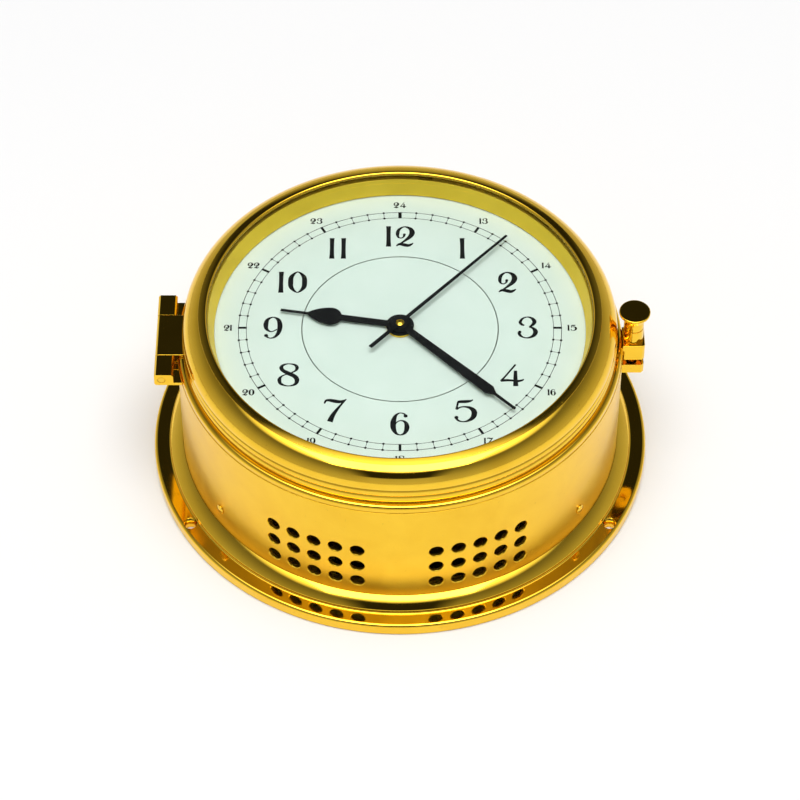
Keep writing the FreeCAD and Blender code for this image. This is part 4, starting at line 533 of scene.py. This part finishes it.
MATERIALS = {
    "polished_brass": POLISHED, "satin_brass": SATIN, "dial_enamel": ENAMEL, "hand_black": BLACK,
    "window_glass": window_material(), "rubber": RUBBER, "felt": felt_material(),
    "movement_plastic": MOVEMENT, "plate_plastic": PLATE, "gear_plastic": GEAR,
    "battery_jacket": BATTERY, "plated_steel": STEEL, "magnet": MAGNET,
    "enamelled_copper": winding_material(), "board": board_material(), "resin": RESIN,
}
for cad_node in frame["nodes"].values():
    slot_name = cad_node.material_slots[0].material.name.split(".")[0]
    for material_slot in cad_node.material_slots:
        material_slot.material = MATERIALS[slot_name]


def finish(piece, body, slot, material=None, nodes=()):
    """Material, body and CAD nodes of a new piece."""
    piece.data.materials.clear()
    piece.data.materials.append(material or MATERIALS[slot])
    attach(piece, body)
    if nodes:
        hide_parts(*nodes)
    return piece


# ---------------------------------------------------------------- the case
def cover_screw_places():
    """Where each screw of the rear cover stands."""
    angles = [math.radians(number * 360 / COVER_SCREWS) for number in range(COVER_SCREWS)]
    return [Matrix.Translation((COVER_SCREW_CIRCLE * math.cos(angle), COVER_SCREW_CIRCLE * math.sin(angle), 0))
            for angle in angles]


def make_flange():
    inside = SPIGOT_INNER
    line = profile([
        (COVER_SEAT_RADIUS, 0, 0, 0.2),
        (FLANGE_RADIUS, 0, 0, 0.3),
        (FLANGE_RADIUS, FLANGE_TOP - FLANGE_ROUND, 0, 0),
        (FLANGE_RADIUS - FLANGE_ROUND, FLANGE_TOP, FLANGE_ROUND, 0),
        (STEP_RADIUS + STEP_FOOT, FLANGE_TOP, 0, 0),
        (STEP_RADIUS, FLANGE_TOP + STEP_FOOT, -STEP_FOOT, 0),
        (STEP_RADIUS, STEP_SIDE, 0, 0),
        (STEP_EDGE_RADIUS, STEP_EDGE_HEIGHT, STEP_ROUND, 0),
        (DRUM_RADIUS + 0.1, STEP_HEIGHT, STEP_SWELL, 0.12),
        (DRUM_RADIUS + 0.1, DRUM_SEAT),
        (SPIGOT_RADIUS, DRUM_SEAT),
        (SPIGOT_RADIUS, SPIGOT_TOP),
        (inside, SPIGOT_TOP),
        (inside, FLANGE_TOP),
        (BORE_RADIUS, FLANGE_TOP, 0, 0.3),
        (BORE_RADIUS, COVER_FRONT, 0, 0.3),
        (COVER_SEAT_RADIUS, COVER_FRONT),
    ])
    piece = lathe("base_flange_turned", line, 480)
    tabs = []
    for angle in TAB_ANGLES:
        tab = profile([(inside, SPIGOT_TOP - 1), (SPIGOT_RADIUS, SPIGOT_TOP - 1),
                       (SPIGOT_RADIUS, TAB_TOP, 0, 0.4), (inside, TAB_TOP, 0, 0.4)])
        tabs.append(lathe("tab", tab, 12, span=(angle - TAB_SPAN / 2, angle + TAB_SPAN / 2)))
    carve(piece, tabs, "UNION")
    cutters = [drill_tool(angle, DRUM_SCREW_HEIGHT, TAB_HOLE, inside - 2, SPIGOT_RADIUS + 2)
               for angle in TAB_ANGLES]
    sink = FLANGE_TOP - MOUNT_SINK_DEPTH
    hole = profile([
        (0, -1), (MOUNT_HOLE + 0.5, -1), (MOUNT_HOLE + 0.3, 0), (MOUNT_HOLE, 0.3), (MOUNT_HOLE, sink - 0.1),
        (MOUNT_HOLE + 0.08, sink + 0.05), (MOUNT_SINK, FLANGE_TOP), (MOUNT_SINK + 0.4, FLANGE_TOP + 1),
        (0, FLANGE_TOP + 1),
    ], fillet=0, closed=False)
    for angle in MOUNT_ANGLES:
        place = Matrix.Rotation(math.radians(angle), 4, "Z") @ Matrix.Translation((MOUNT_RADIUS, 0, 0))
        cutters.append(lathe("mount", hole, 48, closed=False, place=place))
    shank = profile([(0, -1), (COVER_SCREW_HOLE, -1), (COVER_SCREW_HOLE, 7), (0, 7)], fillet=0, closed=False)
    for place in cover_screw_places():
        cutters.append(lathe("cover_hole", shank, 24, closed=False, place=place))
    carve(piece, cutters)
    turned_normals(piece, line)
    return finish(piece, "case", "polished_brass", nodes=["base_flange"])


def make_drum():
    line = profile([
        (DRUM_INNER, DRUM_SEAT),
        (DRUM_RADIUS, DRUM_SEAT),
        (DRUM_RADIUS, DRUM_TOP, 0, 0.3),
        (DRUM_INNER, DRUM_TOP),
    ])
    piece = lathe("case_drum_wall", line, 480)
    inner, outer = DRUM_INNER - 2, DRUM_RADIUS + 2
    cutters = [drill_tool(angle, height, VENT_RADIUS, inner, outer, 0.35, DRUM_RADIUS)
               for angle in VENT_ANGLES for height in VENT_HEIGHTS]
    cutters += [drill_tool(angle, DRUM_SCREW_HEIGHT, DRUM_SCREW_HOLE, inner, outer) for angle in TAB_ANGLES]
    cutters += [drill_tool(angle, height, INNER_SCREW_HOLE, inner, outer)
                for angle, height in LEAF_SCREWS + LUG_SCREWS]
    carve(piece, cutters)
    turned_normals(piece, line)
    return finish(piece, "case", "polished_brass", BRUSHED, nodes=["case_drum"])


def make_cover():
    line = profile([(0, COVER_BACK), (COVER_RADIUS, COVER_BACK, 0, 0.25), (COVER_RADIUS, COVER_FRONT),
                    (0, COVER_FRONT)], closed=False)
    piece = lathe("rear_cover_sheet", line, 360, closed=False)
    sink = profile([
        (0, COVER_BACK - 1), (COVER_SINK + 0.05, COVER_BACK - 1), (COVER_SINK, COVER_BACK),
        (COVER_SCREW_HOLE, COVER_FRONT), (COVER_SCREW_HOLE - 0.05, COVER_FRONT + 1), (0, COVER_FRONT + 1),
    ], fillet=0, closed=False)
    carve(piece, [lathe("sink", sink, 40, closed=False, place=place) for place in cover_screw_places()])
    turned_normals(piece, line)
    return finish(piece, "case", "satin_brass", nodes=["rear_cover"])


# ---------------------------------------------------------------- the bezel
def bead_radius(chord, swell):
    return chord * chord / (8 * swell) + swell / 2


def make_bezel():
    bead = bead_radius(BEAD_HEIGHT, 0.7)
    first = BASE_TOP + 0.5
    second = first + BEAD_HEIGHT
    neck_top = second + BEAD_HEIGHT + 0.5
    line = profile([
        (BEZEL_BORE, BEZEL_BOTTOM),
        (SEAL_INNER, BEZEL_BOTTOM),
        (SEAL_INNER, SEAL_TOP),
        (SEAL_OUTER, SEAL_TOP),
        (SEAL_OUTER, BEZEL_BOTTOM),
        (BEZEL_RADIUS, BEZEL_BOTTOM, 0, 0.35),
        (BEZEL_RADIUS, BASE_TOP - 1.7, 0, 0),
        (90.6, BASE_TOP, 1.7, 0),
        (BEZEL_NECK, BASE_TOP, 0, 0.12),
        (BEZEL_NECK, first, 0, 0.1),
        (BEZEL_NECK, second, bead, 0.08),
        (BEZEL_NECK, second + BEAD_HEIGHT, bead, 0.1),
        (BEZEL_NECK, neck_top, 0, 0.12),
        (SHOULDER_RADIUS, neck_top, 0, 0.12),
        (SHOULDER_RADIUS, 73.4, 0, 0),
        (88.8, 76.75, 6.7, 0),
        (LIP_RADIUS, BEZEL_TOP - 0.5, 9.55, 0.05),
        (LIP_RADIUS, BEZEL_TOP - 0.35, 0, 0.05),
        (80.3, BEZEL_TOP, 60, 0.2),
        (SIGHT_RADIUS, BEZEL_TOP - 0.9, 0.9, 0),
        (SIGHT_RADIUS, LIP_UNDERSIDE, 0, 0.08),
        (GLASS_SEAT, LIP_UNDERSIDE),
        (GLASS_SEAT, RETAINER_BOTTOM),
        (BEZEL_BORE, RETAINER_BOTTOM, 0, 0.3),
    ])
    piece = lathe("bezel_ring_turned", line, 512)
    return finish(piece, "bezel", "polished_brass", nodes=["bezel_ring"])


def make_ring(name, node, body, corners, slot, fillet=0.12, material=None):
    piece = lathe(name, profile(corners, fillet), 384)
    return finish(piece, body, slot, material, nodes=[node])


def make_knob():
    line_z = KNOB_FOOT + 6.2
    flare = KNOB_FOOT + 9.2
    head = KNOB_FOOT + 14.3
    rim = head + 1.1
    hollow = bead_radius(math.hypot(2.3, 5.1), 0.8)
    line = profile([
        (1.56, 76.06),
        (1.56, KNOB_FOOT, 0, 0.15),
        (4.3, KNOB_FOOT, 0, 0.3),
        (4.15, line_z, 0, 0.12),
        (3.75, line_z, 0, 0.05),
        (3.75, line_z + 0.5, 0, 0.05),
        (4.15, line_z + 0.5, 0, 0.12),
        (4.15, flare, 0, 0),
        (6.45, head, -hollow, 0.2),
        (6.45, rim - 0.4, 0, 0),
        (6.05, rim, 0.4, 0.1),
        (0, rim + 0.85),
    ], closed=False)
    line = [(complex(0, 76.06), -1j)] + line
    place = Matrix.Translation((LATCH_X, 0, 0))
    piece = lathe("latch_knob_turned", line, 128, closed=False, place=place)
    return finish(piece, "latch_thumb_knob", "polished_brass", nodes=["latch_knob"])


def thread_mesh(bottom, top, root, crest, bore, place, inside=False):
    """A threaded sleeve or rod: the ridge runs at the pitch of the real thread and fades at both ends."""
    segments, per_turn = 48, 10
    rows = int((top - bottom) / THREAD_PITCH * per_turn)
    points, faces = [], []

    def ridge(angle, height):
        phase = (height / THREAD_PITCH - angle / TAU) % 1
        shape = min(1.0, max(0.0, 1.25 * (1 - abs(2 * phase - 1)) - 0.1))
        fade = min(1.0, (height - bottom) / 0.35, (top - height) / 0.35)
        return root + (crest - root) * shape * max(0.0, fade)

    for row in range(rows + 1):
        height = bottom + (top - bottom) * row / rows
        for i in range(segments):
            angle = TAU * i / segments
            r = ridge(angle, height)
            points.append(place @ Vector((r * math.cos(angle), r * math.sin(angle), height)))
    ends = []
    for height in (bottom, top):
        ring = len(points)
        for i in range(segments):
            angle = TAU * i / segments
            points.append(place @ Vector((bore * math.cos(angle), bore * math.sin(angle), height)))
        ends.append(ring)
    flip = (lambda face: face[::-1]) if inside else (lambda face: face)
    for row in range(rows):
        for i in range(segments):
            j = (i + 1) % segments
            a = row * segments
            faces.append(flip((a + i, a + j, a + segments + j, a + segments + i)))
    for i in range(segments):
        j = (i + 1) % segments
        top_row = rows * segments
        faces.append(flip((ends[0] + i, ends[0] + j, j, i)))
        faces.append(flip((top_row + i, top_row + j, ends[1] + j, ends[1] + i)))
        faces.append(flip((ends[1] + i, ends[1] + j, ends[0] + j, ends[0] + i)))
    return points, faces


def make_stud():
    place = Matrix.Translation((LATCH_X, 0, 0))
    line = profile([
        (0, STUD_TIP_BOTTOM),
        (STUD_RADIUS, STUD_TIP_BOTTOM, 0, 0.15),
        (STUD_RADIUS, STUD_TOP, 0, 0.2),
        (0, STUD_TOP),
    ], closed=False)
    rod = lathe("rod", line, 64, closed=False, place=place)
    points, faces = thread_mesh(STUD_TIP_BOTTOM + 0.05, STUD_TIP_TOP, 1.66, 2.04, 1.4, place)
    thread = mesh_from("thread", points, faces)
    piece = joined("latch_stud_threaded", [rod, thread])
    piece.data.set_sharp_from_angle(angle=math.radians(40))
    return finish(piece, "latch_screw", "satin_brass", SCREW, nodes=["latch_stud"])


def make_lug_thread():
    place = Matrix.Translation((LATCH_X, 0, 0))
    points, faces = thread_mesh(49.15, 53.85, 2.42, 2.12, 2.52, place, inside=True)
    piece = mesh_from("latch_case_lug_thread", points, faces)
    piece.data.set_sharp_from_angle(angle=math.radians(40))
    return finish(piece, "case", "polished_brass", SCREW)


# ---------------------------------------------------------------- the printed dial
INK_LOW, INK_HIGH = DIAL_TOP - 0.01, DIAL_TOP + 0.025
FIGURES = {
    "0": [("loop", [(0.95, 6.2, 1.8), (1.35, 9.4, 1.5), (3.85, 12.0, 0.5), (6.35, 9.4, 1.5), (6.75, 6.2, 1.8),
                    (6.35, 2.9, 1.5), (3.85, 0.25, 0.5), (1.35, 2.9, 1.5)])],
    "1": [("line", [(0.95, 0.1, 1.85), (0.95, 2.0, 1.6), (0.95, 6.0, 1.45), (0.95, 10.4, 1.55),
                    (0.95, 12.1, 1.75)])],
    "2": [("line", [(3.6, 7.1, 1.0), (3.4, 6.0, 0.65), (2.4, 5.15, 0.45), (1.15, 5.6, 0.7), (0.75, 7.6, 1.25),
                    (1.4, 10.1, 1.1), (3.6, 11.75, 0.55), (6.0, 10.75, 1.3), (6.95, 8.5, 1.9), (6.1, 6.0, 1.6),
                    (3.8, 3.5, 0.9), (1.4, 1.4, 0.55), (0.4, 0.5, 0.4)]),
          ("line", [(0.2, 0.5, 0.45), (1.6, 1.5, 1.1), (3.4, 1.2, 1.5), (5.2, 0.75, 1.35), (6.6, 1.45, 0.8),
                    (7.4, 2.2, 0.35)]), ("dot", (3.65, 7.2, 0.62))],
    "3": [("line", [(3.1, 7.5, 0.5), (2.1, 7.95, 1.0), (1.4, 9.2, 1.05), (2.4, 11.2, 0.8), (4.3, 12.15, 0.45),
                    (6.1, 11.6, 0.95), (7.3, 9.8, 1.45), (6.7, 8.0, 1.15), (5.1, 6.5, 0.55)]),
          ("line", [(5.1, 6.55, 0.6), (6.6, 5.9, 1.0), (7.6, 4.1, 1.65), (7.0, 2.0, 1.35), (5.1, 0.65, 0.8),
                    (3.1, 0.55, 0.5), (1.5, 1.5, 0.9), (0.85, 2.9, 1.1), (1.05, 3.8, 0.9)]),
          ("dot", (1.1, 3.75, 0.72))],
    "4": [("line", [(6.7, 12.0, 0.7), (4.5, 8.7, 0.65), (2.3, 5.4, 0.65), (0.5, 3.0, 0.8)]),
          ("line", [(0.4, 2.95, 0.8), (2.5, 3.35, 1.1), (5.0, 3.25, 0.9), (7.2, 2.9, 1.05), (9.0, 3.3, 0.8),
                    (9.9, 3.9, 0.45)]), ("line", [(6.6, 8.6, 1.15), (6.5, 5.0, 1.35), (6.5, 0.15, 1.75)])],
    "5": [("line", [(1.95, 11.0, 0.8), (1.5, 8.8, 0.65), (1.15, 6.8, 0.8)]),
          ("line", [(1.75, 10.8, 1.0), (3.2, 11.0, 1.25), (5.2, 11.05, 1.3), (6.9, 11.4, 0.9), (7.9, 12.0, 0.4)]),
          ("line", [(1.1, 6.8, 0.8), (2.6, 7.9, 0.6), (4.4, 8.25, 0.65), (6.6, 7.7, 1.2), (8.1, 6.2, 1.8),
                    (8.35, 4.3, 1.9), (7.5, 2.1, 1.5), (5.5, 0.6, 0.8), (3.6, 0.25, 0.5), (1.9, 0.85, 0.7),
                    (1.0, 2.2, 0.9)]), ("dot", (1.1, 2.5, 0.85))],
    "6": [("line", [(6.0, 10.5, 0.9), (5.2, 11.6, 0.55), (3.5, 11.9, 0.45), (1.9, 10.4, 1.1), (1.0, 7.2, 1.85),
                    (1.05, 3.8, 1.75), (2.1, 1.2, 1.0), (3.8, 0.25, 0.5), (5.6, 1.3, 1.1), (6.5, 4.2, 1.7),
                    (5.9, 6.9, 1.1), (4.2, 7.9, 0.5), (2.5, 7.1, 0.45), (1.7, 5.6, 0.4)]),
          ("dot", (5.95, 10.35, 0.85))],
    "7": [("line", [(0.25, 10.0, 0.5), (0.9, 11.5, 0.9), (2.3, 11.75, 1.2), (4.3, 11.3, 1.5), (6.6, 10.95, 1.3),
                    (8.3, 11.6, 0.8), (9.15, 12.3, 0.35)]),
          ("line", [(8.9, 12.0, 0.45), (7.2, 9.6, 0.7), (5.2, 6.4, 1.1), (3.6, 3.3, 1.6), (2.6, 0.25, 2.0)])],
    "8": [("loop", [(4.45, 7.1, 1.6), (2.2, 8.7, 1.4), (1.45, 10.4, 1.3), (2.6, 11.9, 0.8), (4.7, 12.35, 0.45),
                    (7.1, 11.7, 0.9), (7.9, 10.1, 1.2), (7.1, 8.4, 0.7), (4.4, 6.9, 0.45), (1.9, 5.7, 0.6),
                    (0.85, 3.8, 1.3), (1.5, 1.4, 1.05), (4.4, 0.25, 0.45), (7.2, 1.1, 1.0), (8.0, 3.4, 1.6),
                    (7.0, 5.5, 1.6)])],
    "9": [("line", [(5.6, 5.2, 0.45), (3.3, 3.95, 0.5), (1.4, 5.2, 1.1), (0.9, 7.85, 1.7), (1.6, 10.7, 1.2),
                    (3.85, 12.0, 0.5), (6.0, 10.6, 1.3), (6.75, 7.3, 1.75), (6.3, 3.6, 1.45), (4.9, 1.1, 0.9),
                    (3.2, 0.3, 0.5), (1.9, 0.7, 0.6), (1.3, 1.5, 0.9)]), ("dot", (1.15, 1.75, 0.85))],
}
FIGURE_WIDTHS = {"0": 7.7, "1": 1.9, "2": 7.6, "3": 8.5, "4": 9.9,
                 "5": 9.3, "6": 7.4, "7": 9.2, "8": 8.9, "9": 7.6}
FIGURE_HEIGHT, FIGURE_GAP, ONES_GAP = 12.2, 2.1, 0.9


def smooth_path(points, closed, steps=7):
    """Catmull-Rom points (x, y, width) through the given ones."""
    values = np.array(points, float)
    count = len(values)
    result = []
    for k in range(count if closed else count - 1):
        if closed:
            before, here, there, after = (values[(k + n) % count] for n in (-1, 0, 1, 2))
        else:
            here, there = values[k], values[k + 1]
            before = values[k - 1] if k else 2 * here - there
            after = values[k + 2] if k + 2 < count else 2 * there - here
        for i in range(steps):
            u = i / steps
            result.append(0.5 * (2 * here + (there - before) * u
                                 + (2 * before - 5 * here + 4 * there - after) * u ** 2
                                 + (3 * here - before - 3 * there + after) * u ** 3))
    if not closed:
        result.append(values[-1])
    return np.array(result)


def slab(outline, low, high, points, faces):
    """A flat solid between two heights from a convex outline, added to the lists."""
    base = len(points)
    count = len(outline)
    points += [(x, y, low) for x, y in outline] + [(x, y, high) for x, y in outline]
    faces.append(tuple(base + i for i in reversed(range(count))))
    faces.append(tuple(base + count + i for i in range(count)))
    for i in range(count):
        j = (i + 1) % count
        faces.append((base + i, base + j, base + count + j, base + count + i))


def pen(points, closed, low, high, mesh_points, mesh_faces):
    """A pen stroke of changing width as one closed solid."""
    path = smooth_path(points, closed)
    count = len(path)
    ahead = np.roll(path, -1, 0)
    behind = np.roll(path, 1, 0)
    if not closed:
        ahead[-1], behind[0] = path[-1], path[0]
    way = ahead[:, :2] - behind[:, :2]
    way /= np.maximum(np.hypot(way[:, 0], way[:, 1]), 1e-9)[:, None]
    across = np.column_stack([-way[:, 1], way[:, 0]])
    half = np.maximum(path[:, 2:3], 0.08) / 2
    left, right = path[:, :2] + across * half, path[:, :2] - across * half
    base = len(mesh_points)
    for heights in (low, high):
        for edge in (left, right):
            mesh_points += [(x, y, heights) for x, y in edge]
    for i in range(count if closed else count - 1):
        j = (i + 1) % count
        ll, lr, hl, hr = (base + count * n for n in range(4))
        mesh_faces += [(ll + i, ll + j, lr + j, lr + i), (hl + i, hr + i, hr + j, hl + j),
                       (ll + i, hl + i, hl + j, ll + j), (lr + i, lr + j, hr + j, hr + i)]
    if not closed:
        last = count - 1
        mesh_faces += [(base, base + count, base + 3 * count, base + 2 * count),
                       (base + last, base + 2 * count + last, base + 3 * count + last, base + count + last)]


def disc_outline(x, y, radius, count=20):
    return [(x + radius * math.cos(TAU * i / count), y + radius * math.sin(TAU * i / count))
            for i in range(count)]


def write_number(text, x, y, height, points, faces, bold=1.0):
    """Figures centred on a point."""
    scale = height / FIGURE_HEIGHT
    gap = FIGURE_GAP + (ONES_GAP if text == "11" else 0)
    width = sum(FIGURE_WIDTHS[c] for c in text) + gap * (len(text) - 1)
    left = x - width * scale / 2
    bottom = y - height / 2
    for character in text:
        for number, (kind, data) in enumerate(FIGURES[character]):
            lift = number * 0.002
            if kind == "dot":
                px, py, radius = data
                outline = disc_outline(left + px * scale, bottom + py * scale, radius * scale)
                slab(outline, INK_LOW, INK_HIGH + lift, points, faces)
            else:
                stroke = [(left + px * scale, bottom + py * scale, w * scale * bold) for px, py, w in data]
                pen(stroke, kind == "loop", INK_LOW, INK_HIGH + lift, points, faces)
        left += (FIGURE_WIDTHS[character] + gap) * scale


def ink_piece(name, points, faces, material=INK):
    body = bmesh.new()
    made = [body.verts.new(tuple(p * MM for p in point)) for point in points]
    for face in faces:
        body.faces.new([made[i] for i in face])
    bmesh.ops.recalc_face_normals(body, faces=body.faces)
    mesh = bpy.data.meshes.new(name)
    body.to_mesh(mesh)
    body.free()
    piece = new_object(name, mesh)
    return finish(piece, "case", "dial_enamel", material)


def around(radius, clock_degrees):
    """Plan position of a clock angle."""
    angle = math.radians(90 - clock_degrees)
    return radius * math.cos(angle), radius * math.sin(angle)


def bar_outline(inner, outer, half, clock_degrees):
    angle = math.radians(90 - clock_degrees)
    along, across = (math.cos(angle), math.sin(angle)), (-math.sin(angle), math.cos(angle))
    return [(along[0] * r + across[0] * s, along[1] * r + across[1] * s)
            for r, s in ((inner, half), (inner, -half), (outer, -half), (outer, half))]


NUMERALS, CLOSE_NUMERALS, NUMERAL_WEIGHT = 52.6, 51.8, 1.22
SMALL_NUMERALS, SMALL_HEIGHT, SMALL_WEIGHT = 71.2, 3.3, 1.7
TRACK_INNER, TRACK_OUTER, MINUTE_DOT, CENTRE_CIRCLE = 63.5, 66.75, 0.53, 40.6


def make_printing():
    points, faces = [], []
    for hour in range(1, 13):
        x, y = around(CLOSE_NUMERALS if hour in (2, 10) else NUMERALS, hour * 30)
        write_number(str(hour), x, y, FIGURE_HEIGHT, points, faces, NUMERAL_WEIGHT)
    ink_piece("dial_hour_numerals", points, faces)
    points, faces = [], []
    for hour in range(13, 25):
        x, y = around(SMALL_NUMERALS, hour * 30)
        write_number(str(hour), x, y, SMALL_HEIGHT, points, faces, SMALL_WEIGHT)
    ink_piece("dial_afternoon_numerals", points, faces)
    points, faces = [], []
    inner, outer = TRACK_INNER, TRACK_OUTER
    for minute in range(60):
        turn = minute * 6
        if minute % 5 == 0:
            half = 0.72 if minute == 0 else 0.55
            slab(bar_outline(inner - 0.2, outer + 0.2, half, turn), INK_LOW, INK_HIGH + 0.004, points, faces)
            continue
        for radius in (inner, outer):
            slab(disc_outline(*around(radius, turn), MINUTE_DOT, 16), INK_LOW, INK_HIGH + 0.004, points, faces)
        slab(bar_outline(inner, outer, 0.10, turn), INK_LOW, INK_HIGH + 0.002, points, faces)
    ink_piece("dial_minute_marks", points, faces)
    for name, radius, half, material in (("inner", inner, 0.11, INK), ("outer", outer, 0.13, INK),
                                         ("centre", CENTRE_CIRCLE, 0.22, FAINT_INK)):
        line = profile([(radius - half, INK_LOW), (radius + half, INK_LOW), (radius + half, INK_HIGH),
                        (radius - half, INK_HIGH)], fillet=0)
        piece = lathe(f"dial_circle_{name}", line, 360)
        finish(piece, "case", "dial_enamel", material)


make_flange()
make_drum()
make_cover()
make_bezel()
make_ring("glass_retaining_ring_turned", "glass_retaining_ring", "bezel",
          [(76.7, RETAINER_BOTTOM, 0, 0.15), (81.95, RETAINER_BOTTOM, 0, 0.25), (81.95, GLASS_BOTTOM),
           (79.0, GLASS_BOTTOM, 0, 0.1)],
          "satin_brass", material=WALL)
make_ring("rim_ring_turned", "rim_ring", "case",
          [(80.3, 58.5), (90.99, 58.5), (90.99, 62.0, 0, 0.2), (80.3, 62.0, 0, 0.2)], "satin_brass")
make_ring("glass_gasket_ring", "glass_gasket", "bezel",
          [(79.7, GLASS_TOP), (GLASS_RADIUS, GLASS_TOP), (GLASS_RADIUS, LIP_UNDERSIDE), (79.7, LIP_UNDERSIDE)],
          "rubber", fillet=0.08)
make_ring("dust_seal_ring", "dust_seal", "bezel",
          [(SEAL_INNER, 62.25), (SEAL_OUTER, 62.25), (SEAL_OUTER, SEAL_TOP), (SEAL_INNER, SEAL_TOP)],
          "felt", fillet=0.2)
make_knob()
make_stud()
make_lug_thread()
for cad_name, width, kind in (
    ("hinge_case_leaf", 0.22, None), ("hinge_bezel_leaf", 0.22, None), ("hinge_pin", 0.3, SCREW),
    ("latch_bezel_lug", 0.25, None), ("latch_case_lug", 0.25, None), ("drum_screws", 0.08, SCREW),
    ("hour_hand", 0.08, None), ("minute_hand", 0.08, None), ("second_hand", 0.06, None),
    ("second_hand_cap", 0.0, SCREW), ("fixing_nut", 0.12, SCREW),
):
    bodies = frame["record"]["behaviour"]["bodies"]
    node_body = next(body for body, members in bodies.items() if cad_name in members)
    node_slot = next(key for key, value in MATERIALS.items()
                     if value == frame["nodes"][cad_name].material_slots[0].material)
    finish(dressed(f"{cad_name}_dressed", cad_name, width), node_body, node_slot, kind, [cad_name])
glass_line = profile([
    (0, GLASS_BOTTOM),
    (GLASS_RADIUS, GLASS_BOTTOM, 0, 0.25),
    (GLASS_RADIUS, GLASS_TOP, 0, 0.25),
    (0, GLASS_TOP),
], closed=False)
glass = lathe("bezel_glass_pane", glass_line, 360, closed=False)
finish(glass, "bezel", "window_glass", nodes=["bezel_glass"])
make_printing()

# ---------------------------------------------------------------- studio
floor_mesh = bpy.data.meshes.new("floor")
FLOOR_REACH, FLOOR_HEIGHT = 6, -0.0002
floor_corners = [(x * FLOOR_REACH, y * FLOOR_REACH, FLOOR_HEIGHT)
                 for x, y in ((-1, -1), (1, -1), (1, 1), (-1, 1))]
floor_mesh.from_pydata(floor_corners, [], [(0, 1, 2, 3)])
floor = new_object("floor", floor_mesh)
floor_finish = Finish("floor_white", Roughness=0.9, Specular_IOR_Level=0.1)
floor_shade = floor_finish.blend(floor_finish.noise(3.0), (0.93, 0.93, 0.93), (0.94, 0.94, 0.94))
floor_finish.join(floor_shade, "Base Color")
floor.data.materials.append(floor_finish.material)

world = bpy.data.worlds.new("studio")
bpy.context.scene.world = world
world.use_nodes = True
tree = world.node_tree
tree.nodes.clear()


def world_maths(operation, first, second=0.0):
    node = tree.nodes.new("ShaderNodeMath")
    node.operation = operation
    for socket, value in zip(node.inputs, (first, second)):
        if isinstance(value, (int, float)):
            socket.default_value = value
        else:
            tree.links.new(value, socket)
    return node.outputs[0]


def world_ramp(value, stops):
    """A grey level from a value of 0 to 1."""
    ramp = tree.nodes.new("ShaderNodeValToRGB")
    while len(ramp.color_ramp.elements) < len(stops):
        ramp.color_ramp.elements.new(0.5)
    for element, (where, level) in zip(ramp.color_ramp.elements, stops):
        element.position = where
        element.color = (level / SKY_STRENGTH, level / SKY_STRENGTH, level / SKY_STRENGTH, 1)
    tree.links.new(value, ramp.inputs[0])
    return ramp.outputs[0]


SKY_STRENGTH = 4.0
direction = tree.nodes.new("ShaderNodeTexCoord").outputs["Generated"]
split = tree.nodes.new("ShaderNodeSeparateXYZ")
tree.links.new(direction, split.inputs[0])
across, height = split.outputs[0], split.outputs[2]
dim = world_ramp(height, ((0.0, 0.65), (0.48, 0.50), (0.54, 0.02), (0.85, 0.02), (0.92, 2.1)))
sides = world_ramp(height, ((0.0, 0.60), (0.45, 0.42), (0.82, 0.16), (0.92, 2.1)))
aside = world_ramp(world_maths("ABSOLUTE", across), ((0.0, 0.0), (0.20, 0.0), (0.34, SKY_STRENGTH)))
sky = tree.nodes.new("ShaderNodeMix")
sky.data_type = "RGBA"
tree.links.new(aside, sky.inputs[0])
tree.links.new(dim, sky.inputs[6])
tree.links.new(sides, sky.inputs[7])
light_path = tree.nodes.new("ShaderNodeLightPath")
shade = tree.nodes.new("ShaderNodeMix")
shade.data_type = "RGBA"
tree.links.new(light_path.outputs["Is Camera Ray"], shade.inputs[0])
tree.links.new(sky.outputs[2], shade.inputs[6])
shade.inputs[7].default_value = (1 / SKY_STRENGTH, 1 / SKY_STRENGTH, 1 / SKY_STRENGTH, 1)
background = tree.nodes.new("ShaderNodeBackground")
tree.links.new(shade.outputs[2], background.inputs["Color"])
background.inputs["Strength"].default_value = SKY_STRENGTH
world_output = tree.nodes.new("ShaderNodeOutputWorld")
tree.links.new(background.outputs[0], world_output.inputs["Surface"])


def softbox(name, where, target, width, height, power):
    light = bpy.data.lights.new(name, "AREA")
    light.shape = "RECTANGLE"
    light.size, light.size_y = width, height
    light.energy = power
    lamp = bpy.data.objects.new(name, light)
    lamp.location = where
    lamp.rotation_euler = (Vector(target) - Vector(where)).to_track_quat("-Z", "Y").to_euler()
    bpy.context.scene.collection.objects.link(lamp)
    return lamp


softbox("overhead", (0, -0.3, 1.6), (0, 0, 0), 1.3, 0.9, 12)

camera = bpy.data.objects.new("camera", bpy.data.cameras.new("camera"))
bpy.context.scene.collection.objects.link(camera)
camera.location = (0, -0.9246, 1.0768)
camera.rotation_euler = (Vector((0, 0, 0.02555)) - camera.location).to_track_quat("-Z", "Y").to_euler()
camera.data.lens = 148.7
camera.data.sensor_width = 36
camera.data.clip_start = 0.01
bpy.context.scene.camera = camera
bpy.context.scene.view_settings.view_transform = "Standard"
